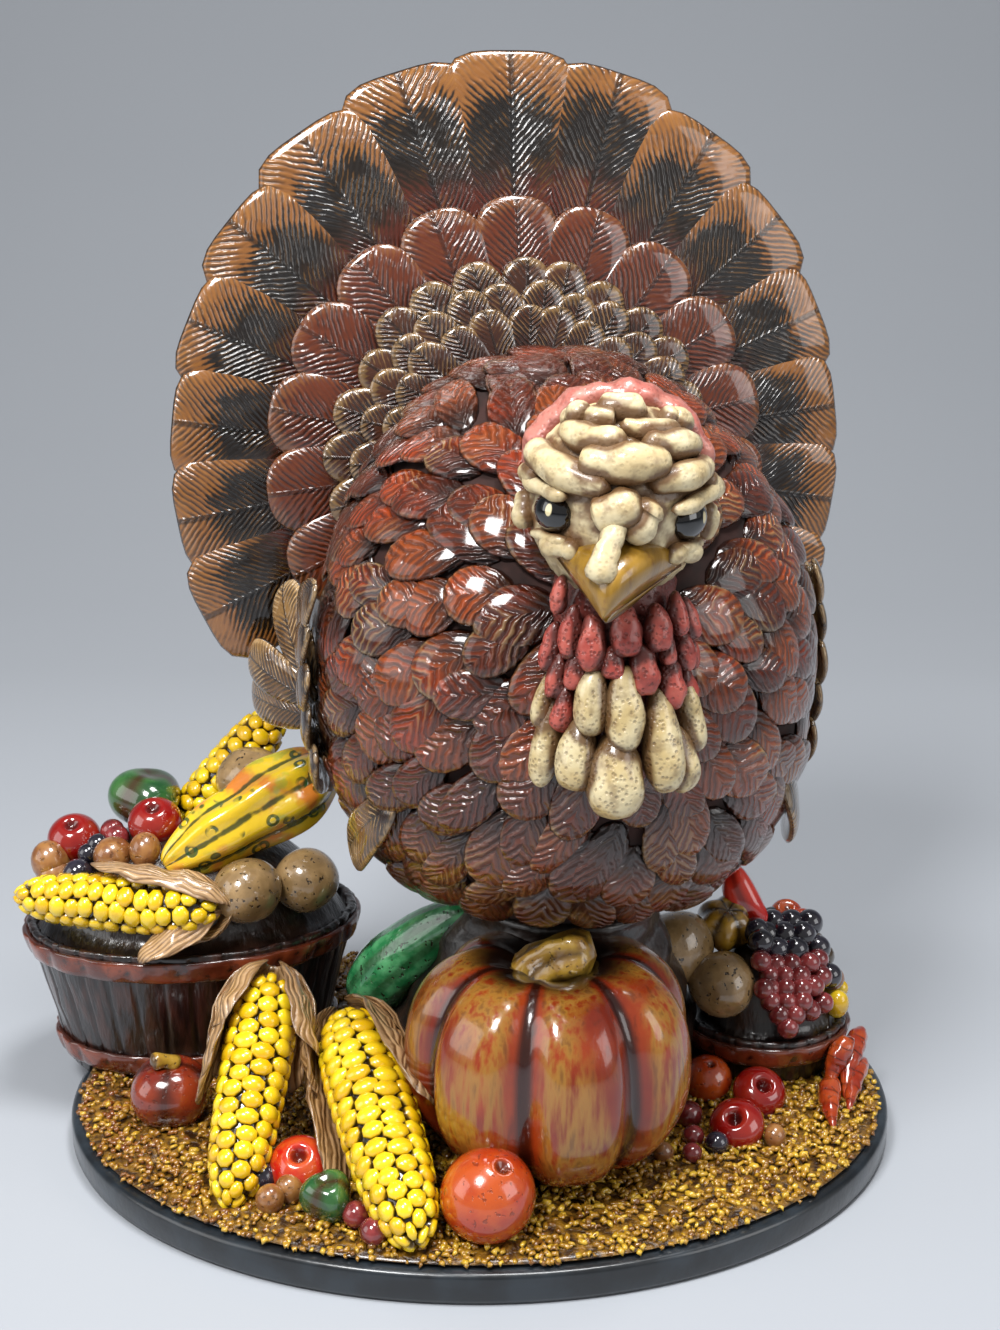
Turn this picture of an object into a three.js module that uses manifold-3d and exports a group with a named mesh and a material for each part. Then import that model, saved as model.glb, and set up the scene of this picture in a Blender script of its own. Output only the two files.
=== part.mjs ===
// A harvest turkey figure in glazed ceramic. The turkey, with its tail spread, is a hollow casting that lifts
// off an oval base, where two baskets, a pumpkin and loose produce are pressed round an earth mound.
// Millimetres, +Z up, front towards -Y. Left and right are as seen from the front.
// The origin is the middle of the plinth's underside.

import * as THREE from 'three';
import { mergeVertices } from 'three/addons/utils/BufferGeometryUtils.js';
import Module from 'manifold-3d';

const wasm = await Module();
wasm.setup();

// Fits
const CLEARANCE = 0.3; // between pieces that are pressed together
const BEDDING = 2.5; // how deep a piece sinks into what it lies on
const SPIGOT_CLEARANCE = 1.2; // between the mound's spigot and the turkey's foot hole
const WELD = 1e-3; // vertices closer than this are one

// Base
const PLINTH_LENGTH = 252;
const PLINTH_DEPTH = 206;
const PLINTH_HEIGHT = 9;
const GROUND_THICKNESS = 2.7;
const GROUND_MARGIN = 3; // of the plinth's top, left bare round the ground
const STRAW_RELIEF = 1.8; // from the hollows to the tufts of the ground's top
const STRAW_RINGS = 7; // of tufts
const STRAW_SECTORS = 32; // tufts in a ring
const STRAW_HEART = 0.42; // share of the ground's reach that is flat, under the mound
const MOUND_HEIGHT = 68.5;
const MOUND_FOOT_RADIUS = 60;
const MOUND_WAIST_RADIUS = 45;
const MOUND_SEAT_RADIUS = 29;
const MOUND_SHIFT = [-12, 30]; // of the mound's foot against its seat
const SPIGOT_RADIUS = 14;
const SPIGOT_HEIGHT = 10;

// Turkey's body
const TURKEY_SPOT = [0.205, -0.1]; // shares of the ground's half length and half depth
const TURKEY_YAW = 10; // degrees, the breast turned to the right
const BODY_WIDTH = 138;
const BODY_DEPTH = 128;
const BODY_ABOVE = 82; // from the body's widest level to its top
const BODY_BELOW = 77; // from the body's widest level to the bottom of its curve
const BODY_LIFT = 74; // from the foot to the body's widest level
const BODY_LEAN = 20; // how far the top lies behind the foot
const BODY_WALL = 6;
const BODY_SQUARENESS = 2.5; // 2 is an ellipse; more gives a fuller underside

// Feathers on the body, in rings round the direction of the neck. Angles are in degrees.
const NECK_RISE = 20;
const FEATHER_RINGS = 8;
const FIRST_FEATHER_RING = 24;
const FEATHER_RING_PITCH = 18;
const FEATHER_PITCH = 22.5; // on the widest ring
const FEATHER_ARC = 26; // the length of a feather
const FEATHER_SWING = 9; // how far a feather may be turned from its ring's direction, each way
const FEATHER_PROUD = 1.2; // of a tip, and the depth of a root
const FEATHER_SEAT = 4; // how far a feather's underside is carried down, so that no gap is left under its edges
const BODY_FEATHER = { footRadius: 8, tipRadius: 12, depthShare: 0.3, fullness: 3, around: 4, along: 3 };
const FLANK_FEATHER = { footRadius: 5.5, tipRadius: 8, depthShare: 0.4, fullness: 3, around: 6, along: 4 };
const LIFT_CLEARANCE = 3; // between the feathers and the pieces on the base

// Turkey's tail
const TAIL_RADIUS = 120;
const TAIL_SIDE_RADIUS = 104;
const TAIL_FEATHERS = 15;
const TAIL_SPREAD = 231; // degrees, from the first quill to the last
const TAIL_THICKNESS = 8;
const TAIL_RISE = 47; // the fan's middle above the body's widest level
const TAIL_BEHIND = 53; // the fan's middle behind the foot's middle
const TAIL_SHIFT = -5; // the fan's middle to the right of the body's
const TAIL_LEAN = 6; // degrees, backwards
const FEATHER_STEP = 0.8; // each tail feather lies this far behind the one above it
const COVERT_RADIUS = 78;
const COVERT_FEATHERS = 13;
const COVERT_THICKNESS = 6;
const INNER_COVERT_RADIUS = 60;
const INNER_COVERT_FEATHERS = 17;

// Turkey's wings
const WING_PAD = { length: 84, footRadius: 5.5, tipRadius: 6.5, depthShare: 2.8, bend: 9.5, along: 7 };
const WING_FEATHER = { footRadius: 6, tipRadius: 7.5, depthShare: 0.5, fullness: 3, around: 8, along: 5 };
const LEFT_WING_SPREAD = 1; // how far the wing's feathers stand out, as a share of the full spread
const RIGHT_WING_SPREAD = 0.45;

// Turkey's head
const HEAD_WIDTH = 45;
const HEAD_DEPTH = 50;
const HEAD_HEIGHT = 54;
const HEAD_RISE = 57; // the head's middle above the body's widest level
const HEAD_SINK = 3; // of the back of the head into the body
const HEAD_YAW = -9; // degrees, turned against the body
const EYE = { length: 11, footRadius: 5.5 };
const NECK = { length: 80, footRadius: 15, tipRadius: 17, around: 12, along: 7 };
const UPPER_BEAK = { length: 36, footRadius: 16, tipRadius: 3.5, depthShare: 0.7, along: 7 };
const LOWER_BEAK = { length: 26, footRadius: 12, tipRadius: 3, depthShare: 0.7 };
const SNOOD = { length: 25, footRadius: 3.5, tipRadius: 4.5, around: 8 };
const FOREHEAD_FOLD = { length: 28, footRadius: 6.2, fullness: 3, around: 6, along: 5 };
const CROWN_RIM_RADIUS = 4;
const RED_DROP = { length: 16, footRadius: 4, tipRadius: 6, around: 6, along: 3 };
const CREAM_DROP = { length: 28, footRadius: 5, tipRadius: 7.6, around: 6, along: 4 };

// Baskets: radii of the staves at the rim and the foot, the crown of the packing under the produce, the yaw
// in degrees, and nuts and berries on the packing, at [share of the half length, share of the half depth,
// lift, radius]
const LARGE_BASKET_NUTS = [
  [-0.8, -0.15, 1, 6],
  [-0.83, -0.11, 7, 6],
  [-0.66, -0.36, 2.4, 4.7],
  [-0.54, -0.17, 2, 3.6],
  [-0.6, -0.21, 2.4, 3.4],
  [-0.46, 0.02, 0.8, 3.8],
  [-0.43, -0.09, -0.5, 4],
  [-0.45, -0.3, -3, 6],
  [-0.26, -0.39, -1.3, 5],
];
const LARGE_BASKET_YAW = 9;
const LARGE_BASKET = {
  rimRadius: 52,
  footRadius: 41,
  height: 46,
  depthShare: 0.74,
  crown: 32,
  yaw: LARGE_BASKET_YAW,
  nuts: LARGE_BASKET_NUTS,
};
const SMALL_BASKET = {
  rimRadius: 25.5,
  footRadius: 20,
  height: 18,
  depthShare: 0.95,
  crown: 26,
  yaw: 0,
  nuts: [],
};
const CROWN_FULLNESS = 3; // 2 is a parabola; more gives a flatter top
const BASKET_SIDES = 22;
const RIM_WIDTH = 3;
const DECK_DROP = 3; // of the packing's edge below the rim
const HOOP_HEIGHT = 7;
const HOOP_THICKNESS = 2.2;
const HOOP_MARGIN = 1; // from a hoop to the end of the staves

// Produce: footRadius and tipRadius are the girth towards each end of the length
const PUMPKIN_RIBS = { ribs: 7, ribDepth: 0.09, dimple: 10, fullness: 2.8, around: 28, along: 8 };
const PUMPKIN = { length: 69, footRadius: 41, ...PUMPKIN_RIBS };
const PUMPKIN_STEM = { footRadius: 8, tipRadius: 6.5, fullness: 3, around: 8 };
const STEM_RISE = 9; // of the stem's tip above its root
const LEFT_COB = { length: 66, footRadius: 8.5, tipRadius: 10.5, fullness: 3 };
const RIGHT_COB = { length: 78, footRadius: 10, tipRadius: 12.5, fullness: 3 };
const BASKET_COB = { length: 62, footRadius: 7.5, tipRadius: 9, fullness: 3 };
const REAR_COB = { length: 46, footRadius: 8, fullness: 3 };
const HUSK_SHARE = 0.62; // length of a husk's hood against its cob's
const HUSK_WALL = 3.5; // of the hood, behind the cob
const HUSK_LEAF = { footRadius: 4.5, tipRadius: 7.5, depthShare: 0.45, around: 8 };
const GREEN_SQUASH = { length: 60, footRadius: 13.5, tipRadius: 6.5, bend: 3, fullness: 2.5 };
const SQUASH_HEIGHT = 44; // of its middle above the ground
const GOURD_RIBS = { fullness: 2.4, ribs: 7, ribDepth: 0.09, around: 14 };
const STRIPED_GOURD = { length: 62, footRadius: 11, tipRadius: 10.5, ...GOURD_RIBS };
const GOLD_GOURD = { length: 17, footRadius: 9.5, ribs: 6, ribDepth: 0.14, dimple: 2, around: 12 };
const RED_GOURD = { length: 20, footRadius: 11.5, ribs: 5, ribDepth: 0.08, dimple: 2 };
const NAVEL_ORANGE = { length: 25, footRadius: 12.8, around: 12, along: 7 };
const GROUND_ORANGE = { length: 14, footRadius: 7 };
const FRONT_TOMATO = { length: 15, footRadius: 8.6, dimple: 2 };
const FRONT_PEPPER = { length: 15, footRadius: 7.8, ribs: 3, ribDepth: 0.14, around: 9 };
const GROUND_TOMATO = { length: 12, footRadius: 7.6, dimple: 2 };
const BASKET_APPLE = { length: 15, footRadius: 8.5, dimple: 2 };
const BASKET_PEPPER = { length: 20, footRadius: 12.5, ribs: 3, ribDepth: 0.12, around: 12 };
const BASKET_POTATO = { length: 20, footRadius: 10.2 };
const REAR_POTATO = { length: 22, footRadius: 9.6 };
const LEFT_SMALL_POTATO = { length: 23, footRadius: 11.3 };
const LEFT_POTATO_HEIGHT = 39; // of its middle above the ground
const RIGHT_SMALL_POTATO = { length: 20.5, footRadius: 10.4 };
const RIGHT_POTATO_SINK = 4; // into the packing of the small basket
const RED_PEPPER = { length: 24, footRadius: 5.5, tipRadius: 6.5, bend: 2, around: 8 };
const SMALL_TOMATO = { length: 10, footRadius: 5.4, dimple: 1.5, around: 8 };
const CHILLI = { footRadius: 1.8, tipRadius: 4.6, bend: 1, around: 7, along: 5 };
const DARK_GRAPE = { length: 7.8, footRadius: 3.9, around: 6, along: 3 };
const RED_GRAPE = { length: 6.4, footRadius: 3.2, around: 5, along: 3 };
const GRAPE_SPACING = 0.74; // between the middles of neighbouring grapes, as a share of their length
const NUT = { around: 6, along: 3 };

// Colours and roughness
const FINISH = {
  black: [0x14171b, 0.45],
  straw: [0x7a5a1c, 0.5],
  earth: [0x1d1512, 0.6],
  feather: [0x4a1f12, 0.25],
  tail: [0x3b2416, 0.25],
  tan: [0x8a6a44, 0.35],
  cream: [0xd8c9a4, 0.5],
  pink: [0xb4524a, 0.5],
  beak: [0x9a7420, 0.4],
  eye: [0x0a0a0c, 0.1],
  stave: [0x2c1914, 0.45],
  hoop: [0x7a321c, 0.35],
  pumpkin: [0xb2441c, 0.2],
  stem: [0x86621c, 0.3],
  kernel: [0xe6c012, 0.3],
  husk: [0xa4814f, 0.4],
  green: [0x2f8a4c, 0.3],
  gourd: [0xd4b418, 0.25],
  orange: [0xc44a1e, 0.25],
  red: [0xb01c1a, 0.2],
  potato: [0x7a6238, 0.25],
  grape: [0x22202a, 0.2],
  wine: [0x7a2a2e, 0.2],
};

const UP = [0, 0, 1];
const BACK = [0, 1, 0];
const FRONT = [0, -1, 0];
const radians = THREE.MathUtils.degToRad;
const lerp = THREE.MathUtils.lerp;

// A geometry, moved by a matrix, as a solid. Faces that shrink to a line at a pole are dropped, and
// a body that a mirror turned inside out is turned back.
function solidOf(geometry, matrix = new THREE.Matrix4()) {
  const bare = new THREE.BufferGeometry();
  bare.setAttribute('position', geometry.getAttribute('position').clone());
  if (geometry.index) bare.setIndex(geometry.index.clone());
  const merged = mergeVertices(bare.applyMatrix4(matrix), WELD);
  const triVerts = [];
  const turnedVerts = [];
  for (let i = 0; i < merged.index.count; i += 3) {
    const [a, b, c] = [0, 1, 2].map((corner) => merged.index.getX(i + corner));
    if (a === b || b === c || c === a) continue;
    triVerts.push(a, b, c);
    turnedVerts.push(a, c, b);
  }
  const vertProperties = new Float32Array(merged.getAttribute('position').array);
  const made = (list) =>
    new wasm.Manifold(new wasm.Mesh({ numProp: 3, vertProperties, triVerts: new Uint32Array(list) }));
  const solid = made(triVerts);
  return solid.volume() < 0 ? made(turnedVerts) : solid;
}

// A solid as a geometry
function geometryOf(solid) {
  const mesh = solid.getMesh();
  const geometry = new THREE.BufferGeometry();
  const places = new Float32Array(mesh.vertProperties);
  geometry.setAttribute('position', new THREE.BufferAttribute(places, 3));
  geometry.setIndex(new THREE.BufferAttribute(new Uint32Array(mesh.triVerts), 1));
  geometry.computeVertexNormals();
  return geometry;
}

// Several geometries as one body
function joined(geometries) {
  const solids = geometries.map((geometry) => solidOf(geometry));
  return geometryOf(solids.reduce((sum, next) => sum.add(next)));
}

// The matrix that puts a shape at a place, with its Z along one direction and its Y facing near another
function placing(at, along = UP, out = BACK) {
  const z = new THREE.Vector3(...along).normalize();
  const x = new THREE.Vector3(...out).cross(z).normalize();
  const y = new THREE.Vector3().crossVectors(z, x);
  return new THREE.Matrix4().makeBasis(x, y, z).setPosition(...at);
}

// The point that lies some way from another along a direction
function onward(from, along, distance) {
  const step = new THREE.Vector3(...along).normalize().multiplyScalar(distance);
  return step.add(new THREE.Vector3(...from)).toArray();
}

// A round or long body along Z: a sphere drawn out to its length, whose girth runs from foot to tip, with
// ribs round it, a dimple at each end, a bend towards +X, and a share of its girth kept along Y. A fullness
// of 2 leaves it an ellipsoid, and more makes its sides straighter.
function plump(spec, grow = 0) {
  const { length, footRadius, tipRadius = footRadius, depthShare = 1 } = spec;
  const { ribs = 0, ribDepth = 0, dimple = 0, bend = 0, fullness = 2 } = spec;
  const { around = 10, along = 6 } = spec;
  const dimpleWidth = 0.4; // as a share of the girth
  const geometry = new THREE.SphereGeometry(1, around, along).rotateX(Math.PI / 2);
  const position = geometry.getAttribute('position');
  for (let i = 0; i < position.count; i++) {
    const [x, y, z] = [position.getX(i), position.getY(i), position.getZ(i)];
    const ring = Math.hypot(x, y);
    const reach = ring > WELD ? (1 - Math.abs(z) ** fullness) ** (1 / fullness) / ring : 0;
    const rib = 1 - (ribDepth / 2) * (1 + Math.cos(ribs * Math.atan2(y, x)));
    const girth = lerp(footRadius, tipRadius, (z + 1) / 2) * rib * reach;
    const pull = dimple * Math.exp(-((ring / dimpleWidth) ** 2)) * Math.sign(z);
    position.setX(i, x * (girth + grow) + bend * z * z);
    position.setY(i, y * (girth * depthShare + grow));
    position.setZ(i, z * (length / 2 + grow) - pull);
  }
  return geometry;
}

// A plump body that runs from one point to another, with its Y facing near a direction
function plumpBetween(spec, from, to, out, grow) {
  const [start, end] = [new THREE.Vector3(...from), new THREE.Vector3(...to)];
  const along = end.clone().sub(start);
  const middle = start.clone().lerp(end, 1 / 2).toArray();
  return plump({ ...spec, length: along.length() }, grow).applyMatrix4(placing(middle, along, out));
}

// A turned body along Z from a profile of [radius, height] points
function turned(profile, sides) {
  const points = profile.map(([radius, height]) => new THREE.Vector2(radius, height));
  return new THREE.LatheGeometry(points, sides).rotateX(Math.PI / 2);
}

// An upright oval slab whose underside is at z 0
function ovalSlab(length, depth, height, grow) {
  const oval = new THREE.Shape().absellipse(0, 0, length / 2 + grow, depth / 2 + grow, 0, 2 * Math.PI);
  const settings = { depth: height + 2 * grow, bevelEnabled: false, curveSegments: 24 };
  return new THREE.ExtrudeGeometry(oval, settings).translate(0, 0, -grow);
}

// The whole figure, and the turkey and its head, which are turned in it
const figure = new THREE.Group();
const turkey = new THREE.Group();
const headGroup = new THREE.Group();
figure.add(turkey);
turkey.add(headGroup);

const placed = [];

// Adds a piece to a group. Where it meets pieces that are there already it is cut back to a clearance from
// them, as soft clay is pressed against what was set before it. shape(grow) gives the piece, grown all round.
function addPiece(group, name, [color, roughness], shape, at = [0, 0, 0], along = UP, out = BACK) {
  const material = new THREE.MeshStandardMaterial({ color, roughness, metalness: 0 });
  const mesh = new THREE.Mesh(shape(0), material);
  mesh.name = name;
  mesh.applyMatrix4(placing(at, along, out));
  group.add(mesh);
  figure.updateMatrixWorld(true);
  const box = new THREE.Box3().setFromObject(mesh);
  const toPiece = mesh.matrixWorld.clone().invert();
  let solid = solidOf(mesh.geometry);
  for (const other of placed.filter((earlier) => earlier.box.intersectsBox(box))) {
    solid = solid.subtract(solidOf(other.grown, toPiece.clone().multiply(other.mesh.matrixWorld)));
  }
  const largest = solid.decompose().sort((a, b) => b.volume() - a.volume())[0];
  mesh.geometry = geometryOf(largest);
  placed.push({ mesh, shape, grown: shape(CLEARANCE), box: box.expandByScalar(2 * CLEARANCE) });
}

// A plump piece, named, at a place
function addPlump(group, name, surface, spec, at, along = UP, out = BACK) {
  addPiece(group, name, surface, (grow) => plump(spec, grow), at, along, out);
}

// A fixed scatter of numbers from 0 to 1 for two counts
function scatter(i, j) {
  const [stepI, stepJ, scale] = [12.9898, 78.233, 43758.5453]; // in no simple ratio to each other
  const wave = scale * Math.sin(stepI * i + stepJ * j);
  return wave - Math.floor(wave);
}

// A nut, berry or grape
function nutShape(radius, grow) {
  return plump({ ...NUT, length: 2 * radius, footRadius: radius }, grow);
}

// Plinth and ground
const GROUND_FOOT = PLINTH_HEIGHT + CLEARANCE;
const GROUND_TOP = GROUND_FOOT + GROUND_THICKNESS;
const GROUND_LENGTH = PLINTH_LENGTH - 2 * GROUND_MARGIN;
const GROUND_DEPTH = PLINTH_DEPTH - 2 * GROUND_MARGIN;
const plinthShape = (grow) => ovalSlab(PLINTH_LENGTH, PLINTH_DEPTH, PLINTH_HEIGHT, grow);

// Loose nuts, berries and grapes in the straw, at [share of the half length, share of the half depth, radius]
const LOOSE_NUTS = [
  [-0.49, -0.652, 4.7],
  [-0.462, -0.756, 4.1],
  [-0.422, -0.706, 4.1],
  [-0.265, -0.83, 3.9],
  [-0.223, -0.91, 3.9],
  [0.507, -0.3, 4.3],
  [0.508, -0.41, 3.3],
  [0.498, -0.501, 3],
  [0.432, -0.498, 3],
  [0.56, -0.455, 3.6],
  [0.702, -0.408, 3.2],
];
const NUT_SINK = 1 / 3; // of a loose nut's radius into the straw

// The ground: an oval bed of straw whose top is uneven, with nuts in it
function groundShape(grow) {
  const reach = GROUND_LENGTH / 2 + grow;
  const profile = [[0, -grow], [reach, -grow]];
  for (let ring = STRAW_RINGS; ring >= 0; ring--) {
    profile.push([reach * lerp(STRAW_HEART, 1, ring / STRAW_RINGS), GROUND_THICKNESS + grow]);
  }
  profile.push([0, GROUND_THICKNESS + grow]);
  const bed = turned(profile, STRAW_SECTORS).scale(1, GROUND_DEPTH / GROUND_LENGTH, 1);
  const position = bed.getAttribute('position');
  const last = profile.length - 1;
  for (let i = 0; i < position.count; i++) {
    const ring = i % profile.length;
    const sector = Math.floor(i / profile.length) % STRAW_SECTORS;
    const uneven = ring > 1 && ring < last ? STRAW_RELIEF * (scatter(ring, sector) - 1 / 2) : 0;
    position.setZ(i, position.getZ(i) + uneven);
  }
  const nuts = LOOSE_NUTS.map(([shareX, shareY, radius]) => {
    const [x, y] = [(shareX * GROUND_LENGTH) / 2, (shareY * GROUND_DEPTH) / 2];
    return nutShape(radius, grow).translate(x, y, GROUND_THICKNESS + radius * (1 - NUT_SINK));
  });
  return joined([bed, ...nuts]);
}
addPiece(figure, 'plinth', FINISH.black, plinthShape);
addPiece(figure, 'ground_cover', FINISH.straw, groundShape, [0, 0, GROUND_FOOT]);

// A place above the ground, as shares of the ground's half length and half depth and a height
function aboveGround(shareX, shareY, height) {
  return [(shareX * GROUND_LENGTH) / 2, (shareY * GROUND_DEPTH) / 2, GROUND_TOP + height];
}

// The middle of a piece that stands or lies on the ground, where rest is the height of its middle
function onGround(shareX, shareY, rest) {
  return aboveGround(shareX, shareY, rest - BEDDING);
}

// The radius of a basket's staves at a height
function staveRadius(basket, height) {
  return lerp(basket.footRadius, basket.rimRadius, height / basket.height);
}

// The height of the packing at a share of the rim's radius from the middle
function packingHeight(basket, share) {
  return basket.height - DECK_DROP + basket.crown * Math.max(0, 1 - share ** CROWN_FULLNESS);
}

// The height of the middle of a piece on the packing
function packedHeight(basket, shareX, shareY, rest, lift) {
  return packingHeight(basket, Math.hypot(shareX, shareY)) + rest - BEDDING + lift;
}

// A basket: staves that widen to a rim, filled with packing that is crowned in the middle and set with nuts
function basketShape(basket, grow) {
  const packingRadius = basket.rimRadius - RIM_WIDTH;
  const steps = 4;
  const profile = [
    [0, -grow],
    [basket.footRadius + grow, -grow],
    [basket.rimRadius + grow, basket.height + grow],
    [packingRadius, basket.height + grow],
  ];
  for (let i = steps; i >= 0; i--) {
    const share = i / steps;
    profile.push([share * packingRadius, packingHeight(basket, share) + grow]);
  }
  const nuts = basket.nuts.map(([shareX, shareY, lift, radius]) => {
    const height = packedHeight(basket, shareX, shareY, radius, lift);
    const [x, y] = [shareX * basket.rimRadius, shareY * basket.rimRadius * basket.depthShare];
    return nutShape(radius, grow).translate(x, y, height);
  });
  return joined([turned(profile, BASKET_SIDES).scale(1, basket.depthShare, 1), ...nuts]);
}

// The direction of a basket's back
function basketBack(basket) {
  return [-Math.sin(radians(basket.yaw)), Math.cos(radians(basket.yaw)), 0];
}

// A hoop round a basket's staves, up from a height
function hoopShape(basket, low, grow) {
  const inside = -HOOP_THICKNESS; // the hoop is cut back to the staves
  const high = low + HOOP_HEIGHT;
  const section = [
    [inside, low - grow],
    [HOOP_THICKNESS + grow, low - grow],
    [HOOP_THICKNESS + grow, high + grow],
    [inside, high + grow],
    [inside, low - grow],
  ];
  const profile = section.map(([out, height]) => [staveRadius(basket, height) + out, height]);
  return turned(profile, BASKET_SIDES).scale(1, basket.depthShare, 1);
}

// A basket with the hoop round its rim, standing on the ground at a share of its size
function addBasket(name, basket, shareX, shareY) {
  const foot = onGround(shareX, shareY, 0);
  const hoopLow = basket.height - HOOP_MARGIN - HOOP_HEIGHT;
  const back = basketBack(basket);
  const rimHoopShape = (grow) => hoopShape(basket, hoopLow, grow);
  addPiece(figure, name, FINISH.stave, (grow) => basketShape(basket, grow), foot, UP, back);
  addPiece(figure, `${name}_rim_hoop`, FINISH.hoop, rimHoopShape, foot, UP, back);
  return { ...basket, foot };
}

// The middle of a piece in a basket, as shares of the rim's half length and half depth. rest is the height of
// its middle, and lift is how far other produce holds it off the packing.
function inBasket(basket, shareX, shareY, rest, lift = 0) {
  const height = packedHeight(basket, shareX, shareY, rest, lift);
  const [x, y] = [shareX * basket.rimRadius, shareY * basket.rimRadius * basket.depthShare];
  const place = new THREE.Vector3(x, y, height).applyMatrix4(placing(basket.foot, UP, basketBack(basket)));
  return place.toArray();
}

const largeBasket = addBasket('large_basket', LARGE_BASKET, -0.75, 0.29);
const footHoopShape = (grow) => hoopShape(LARGE_BASKET, BEDDING + HOOP_MARGIN, grow);
const largeBasketBack = basketBack(LARGE_BASKET);
addPiece(figure, 'large_basket_foot_hoop', FINISH.hoop, footHoopShape, largeBasket.foot, UP, largeBasketBack);
const smallBasket = addBasket('small_basket', SMALL_BASKET, 0.732, 0.135);

// Pumpkin, with a stem that lies over to the right
const PUMPKIN_SPOT = [0.165, -0.48];
const STEM_ROOT_SPOT = [0.12, -0.465];
const STEM_TIP_SPOT = [0.275, -0.53];
const STEM_ROOT_HEIGHT = PUMPKIN.length - PUMPKIN.dimple - BEDDING;
addPlump(figure, 'pumpkin', FINISH.pumpkin, PUMPKIN, onGround(...PUMPKIN_SPOT, PUMPKIN.length / 2));
const stemRoot = aboveGround(...STEM_ROOT_SPOT, STEM_ROOT_HEIGHT);
const stemTip = aboveGround(...STEM_TIP_SPOT, STEM_ROOT_HEIGHT + STEM_RISE);
const stemShape = (grow) => plumpBetween(PUMPKIN_STEM, stemRoot, stemTip, BACK, grow);
addPiece(figure, 'pumpkin_stem', FINISH.stem, stemShape);

// A husk round the top end of a cob that runs along Z: a hood behind the cob, and a leaf at each side of it
// that reaches from the hood down along the cob
function huskShape(cob, grow) {
  const length = HUSK_SHARE * cob.length;
  const radius = cob.tipRadius + HUSK_WALL / 2;
  const hoodMiddle = (cob.length - length) / 2 + HUSK_WALL;
  const hood = plump({ length, footRadius: radius, fullness: 3 }, grow);
  const pieces = [hood.translate(0, HUSK_WALL, hoodMiddle)];
  for (const side of [-1, 1]) {
    const low = [side * cob.footRadius, HUSK_WALL, 0];
    const high = [side * radius, HUSK_WALL, cob.length / 2 + HUSK_WALL];
    pieces.push(plumpBetween(HUSK_LEAF, low, high, [side, 0, 0], grow));
  }
  return joined(pieces);
}

// A cob and its husk. The cob's lower end lies at foot, and the cob runs along a direction.
function addCob(name, cob, foot, along) {
  const middle = onward(foot, along, cob.length / 2 - cob.footRadius);
  addPlump(figure, name, FINISH.kernel, cob, middle, along);
  addPiece(figure, `${name}_husk`, FINISH.husk, (grow) => huskShape(cob, grow), middle, along);
}
addCob('left_cob', LEFT_COB, onGround(-0.545, -0.67, LEFT_COB.footRadius), [0.1, 0.76, 0.64]);
addCob('right_cob', RIGHT_COB, onGround(-0.155, -0.88, RIGHT_COB.footRadius), [-0.29, 0.88, 0.37]);

// Loose produce on the ground
const squashAt = aboveGround(-0.165, -0.02, SQUASH_HEIGHT);
addPlump(figure, 'green_squash', FINISH.green, GREEN_SQUASH, squashAt, [0.65, -0.32, 0.68]);
const navelAt = onGround(0.024, -0.86, NAVEL_ORANGE.footRadius);
addPlump(figure, 'navel_orange', FINISH.orange, NAVEL_ORANGE, navelAt, [0.2, -0.5, 1]);
addPlump(figure, 'red_gourd', FINISH.red, RED_GOURD, onGround(-0.75, -0.25, RED_GOURD.length / 2));
const frontTomatoAt = onGround(-0.404, -0.624, FRONT_TOMATO.length / 2);
addPlump(figure, 'front_tomato', FINISH.red, FRONT_TOMATO, frontTomatoAt, [0, -0.6, 1]);
const frontPepperAt = onGround(-0.332, -0.778, FRONT_PEPPER.length / 2);
addPlump(figure, 'front_pepper', FINISH.green, FRONT_PEPPER, frontPepperAt, [0, -0.3, 1]);
const groundOrangeAt = onGround(0.567, -0.11, GROUND_ORANGE.footRadius);
addPlump(figure, 'ground_orange', FINISH.orange, GROUND_ORANGE, groundOrangeAt);
const GROUND_TOMATO_SPOTS = [[0.69, -0.175], [0.615, -0.37]];
GROUND_TOMATO_SPOTS.forEach((spot, i) => {
  const at = onGround(...spot, GROUND_TOMATO.length / 2);
  addPlump(figure, `ground_tomato_${i + 1}`, FINISH.red, GROUND_TOMATO, at, [0, -0.5, 1]);
});

// Chillies from their points on the ground to their thick ends, which lean on the small basket and on each
// other, at [share of the half length, share of the half depth, height]
const CHILLI_ENDS = [
  [[0.862, -0.1, 1], [0.918, -0.03, 15]],
  [[0.897, -0.156, 1.5], [0.968, 0.09, 12]],
  [[0.845, -0.33, 1], [0.87, -0.095, 4.5]],
];
CHILLI_ENDS.forEach(([point, end], i) => {
  const [low, high] = [aboveGround(...point), aboveGround(...end)];
  addPiece(figure, `chilli_${i + 1}`, FINISH.orange, (grow) => plumpBetween(CHILLI, low, high, BACK, grow));
});

// Produce in the large basket, at [share of the half length, share of the half depth, lift]
const BASKET_COB_SPOT = [-0.86, -0.45];
const BASKET_COB_LIFT = 9.5;
const cobFoot = inBasket(largeBasket, ...BASKET_COB_SPOT, BASKET_COB.footRadius, BASKET_COB_LIFT);
addCob('basket_cob', BASKET_COB, cobFoot, [0.978, -0.206, 0.01]);
const BASKET_POTATO_SPOTS = [[0.32, -0.78, 0], [0.68, -0.56, 1.6]];
BASKET_POTATO_SPOTS.forEach(([shareX, shareY, lift], i) => {
  const at = inBasket(largeBasket, shareX, shareY, BASKET_POTATO.footRadius, lift);
  addPlump(figure, `basket_potato_${i + 1}`, FINISH.potato, BASKET_POTATO, at);
});
const GOURD_LIFT = 2;
const gourdAt = inBasket(largeBasket, 0.37, -0.32, STRIPED_GOURD.footRadius, GOURD_LIFT);
addPlump(figure, 'striped_gourd', FINISH.gourd, STRIPED_GOURD, gourdAt, [0.82, 0.42, 0.4]);
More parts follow.
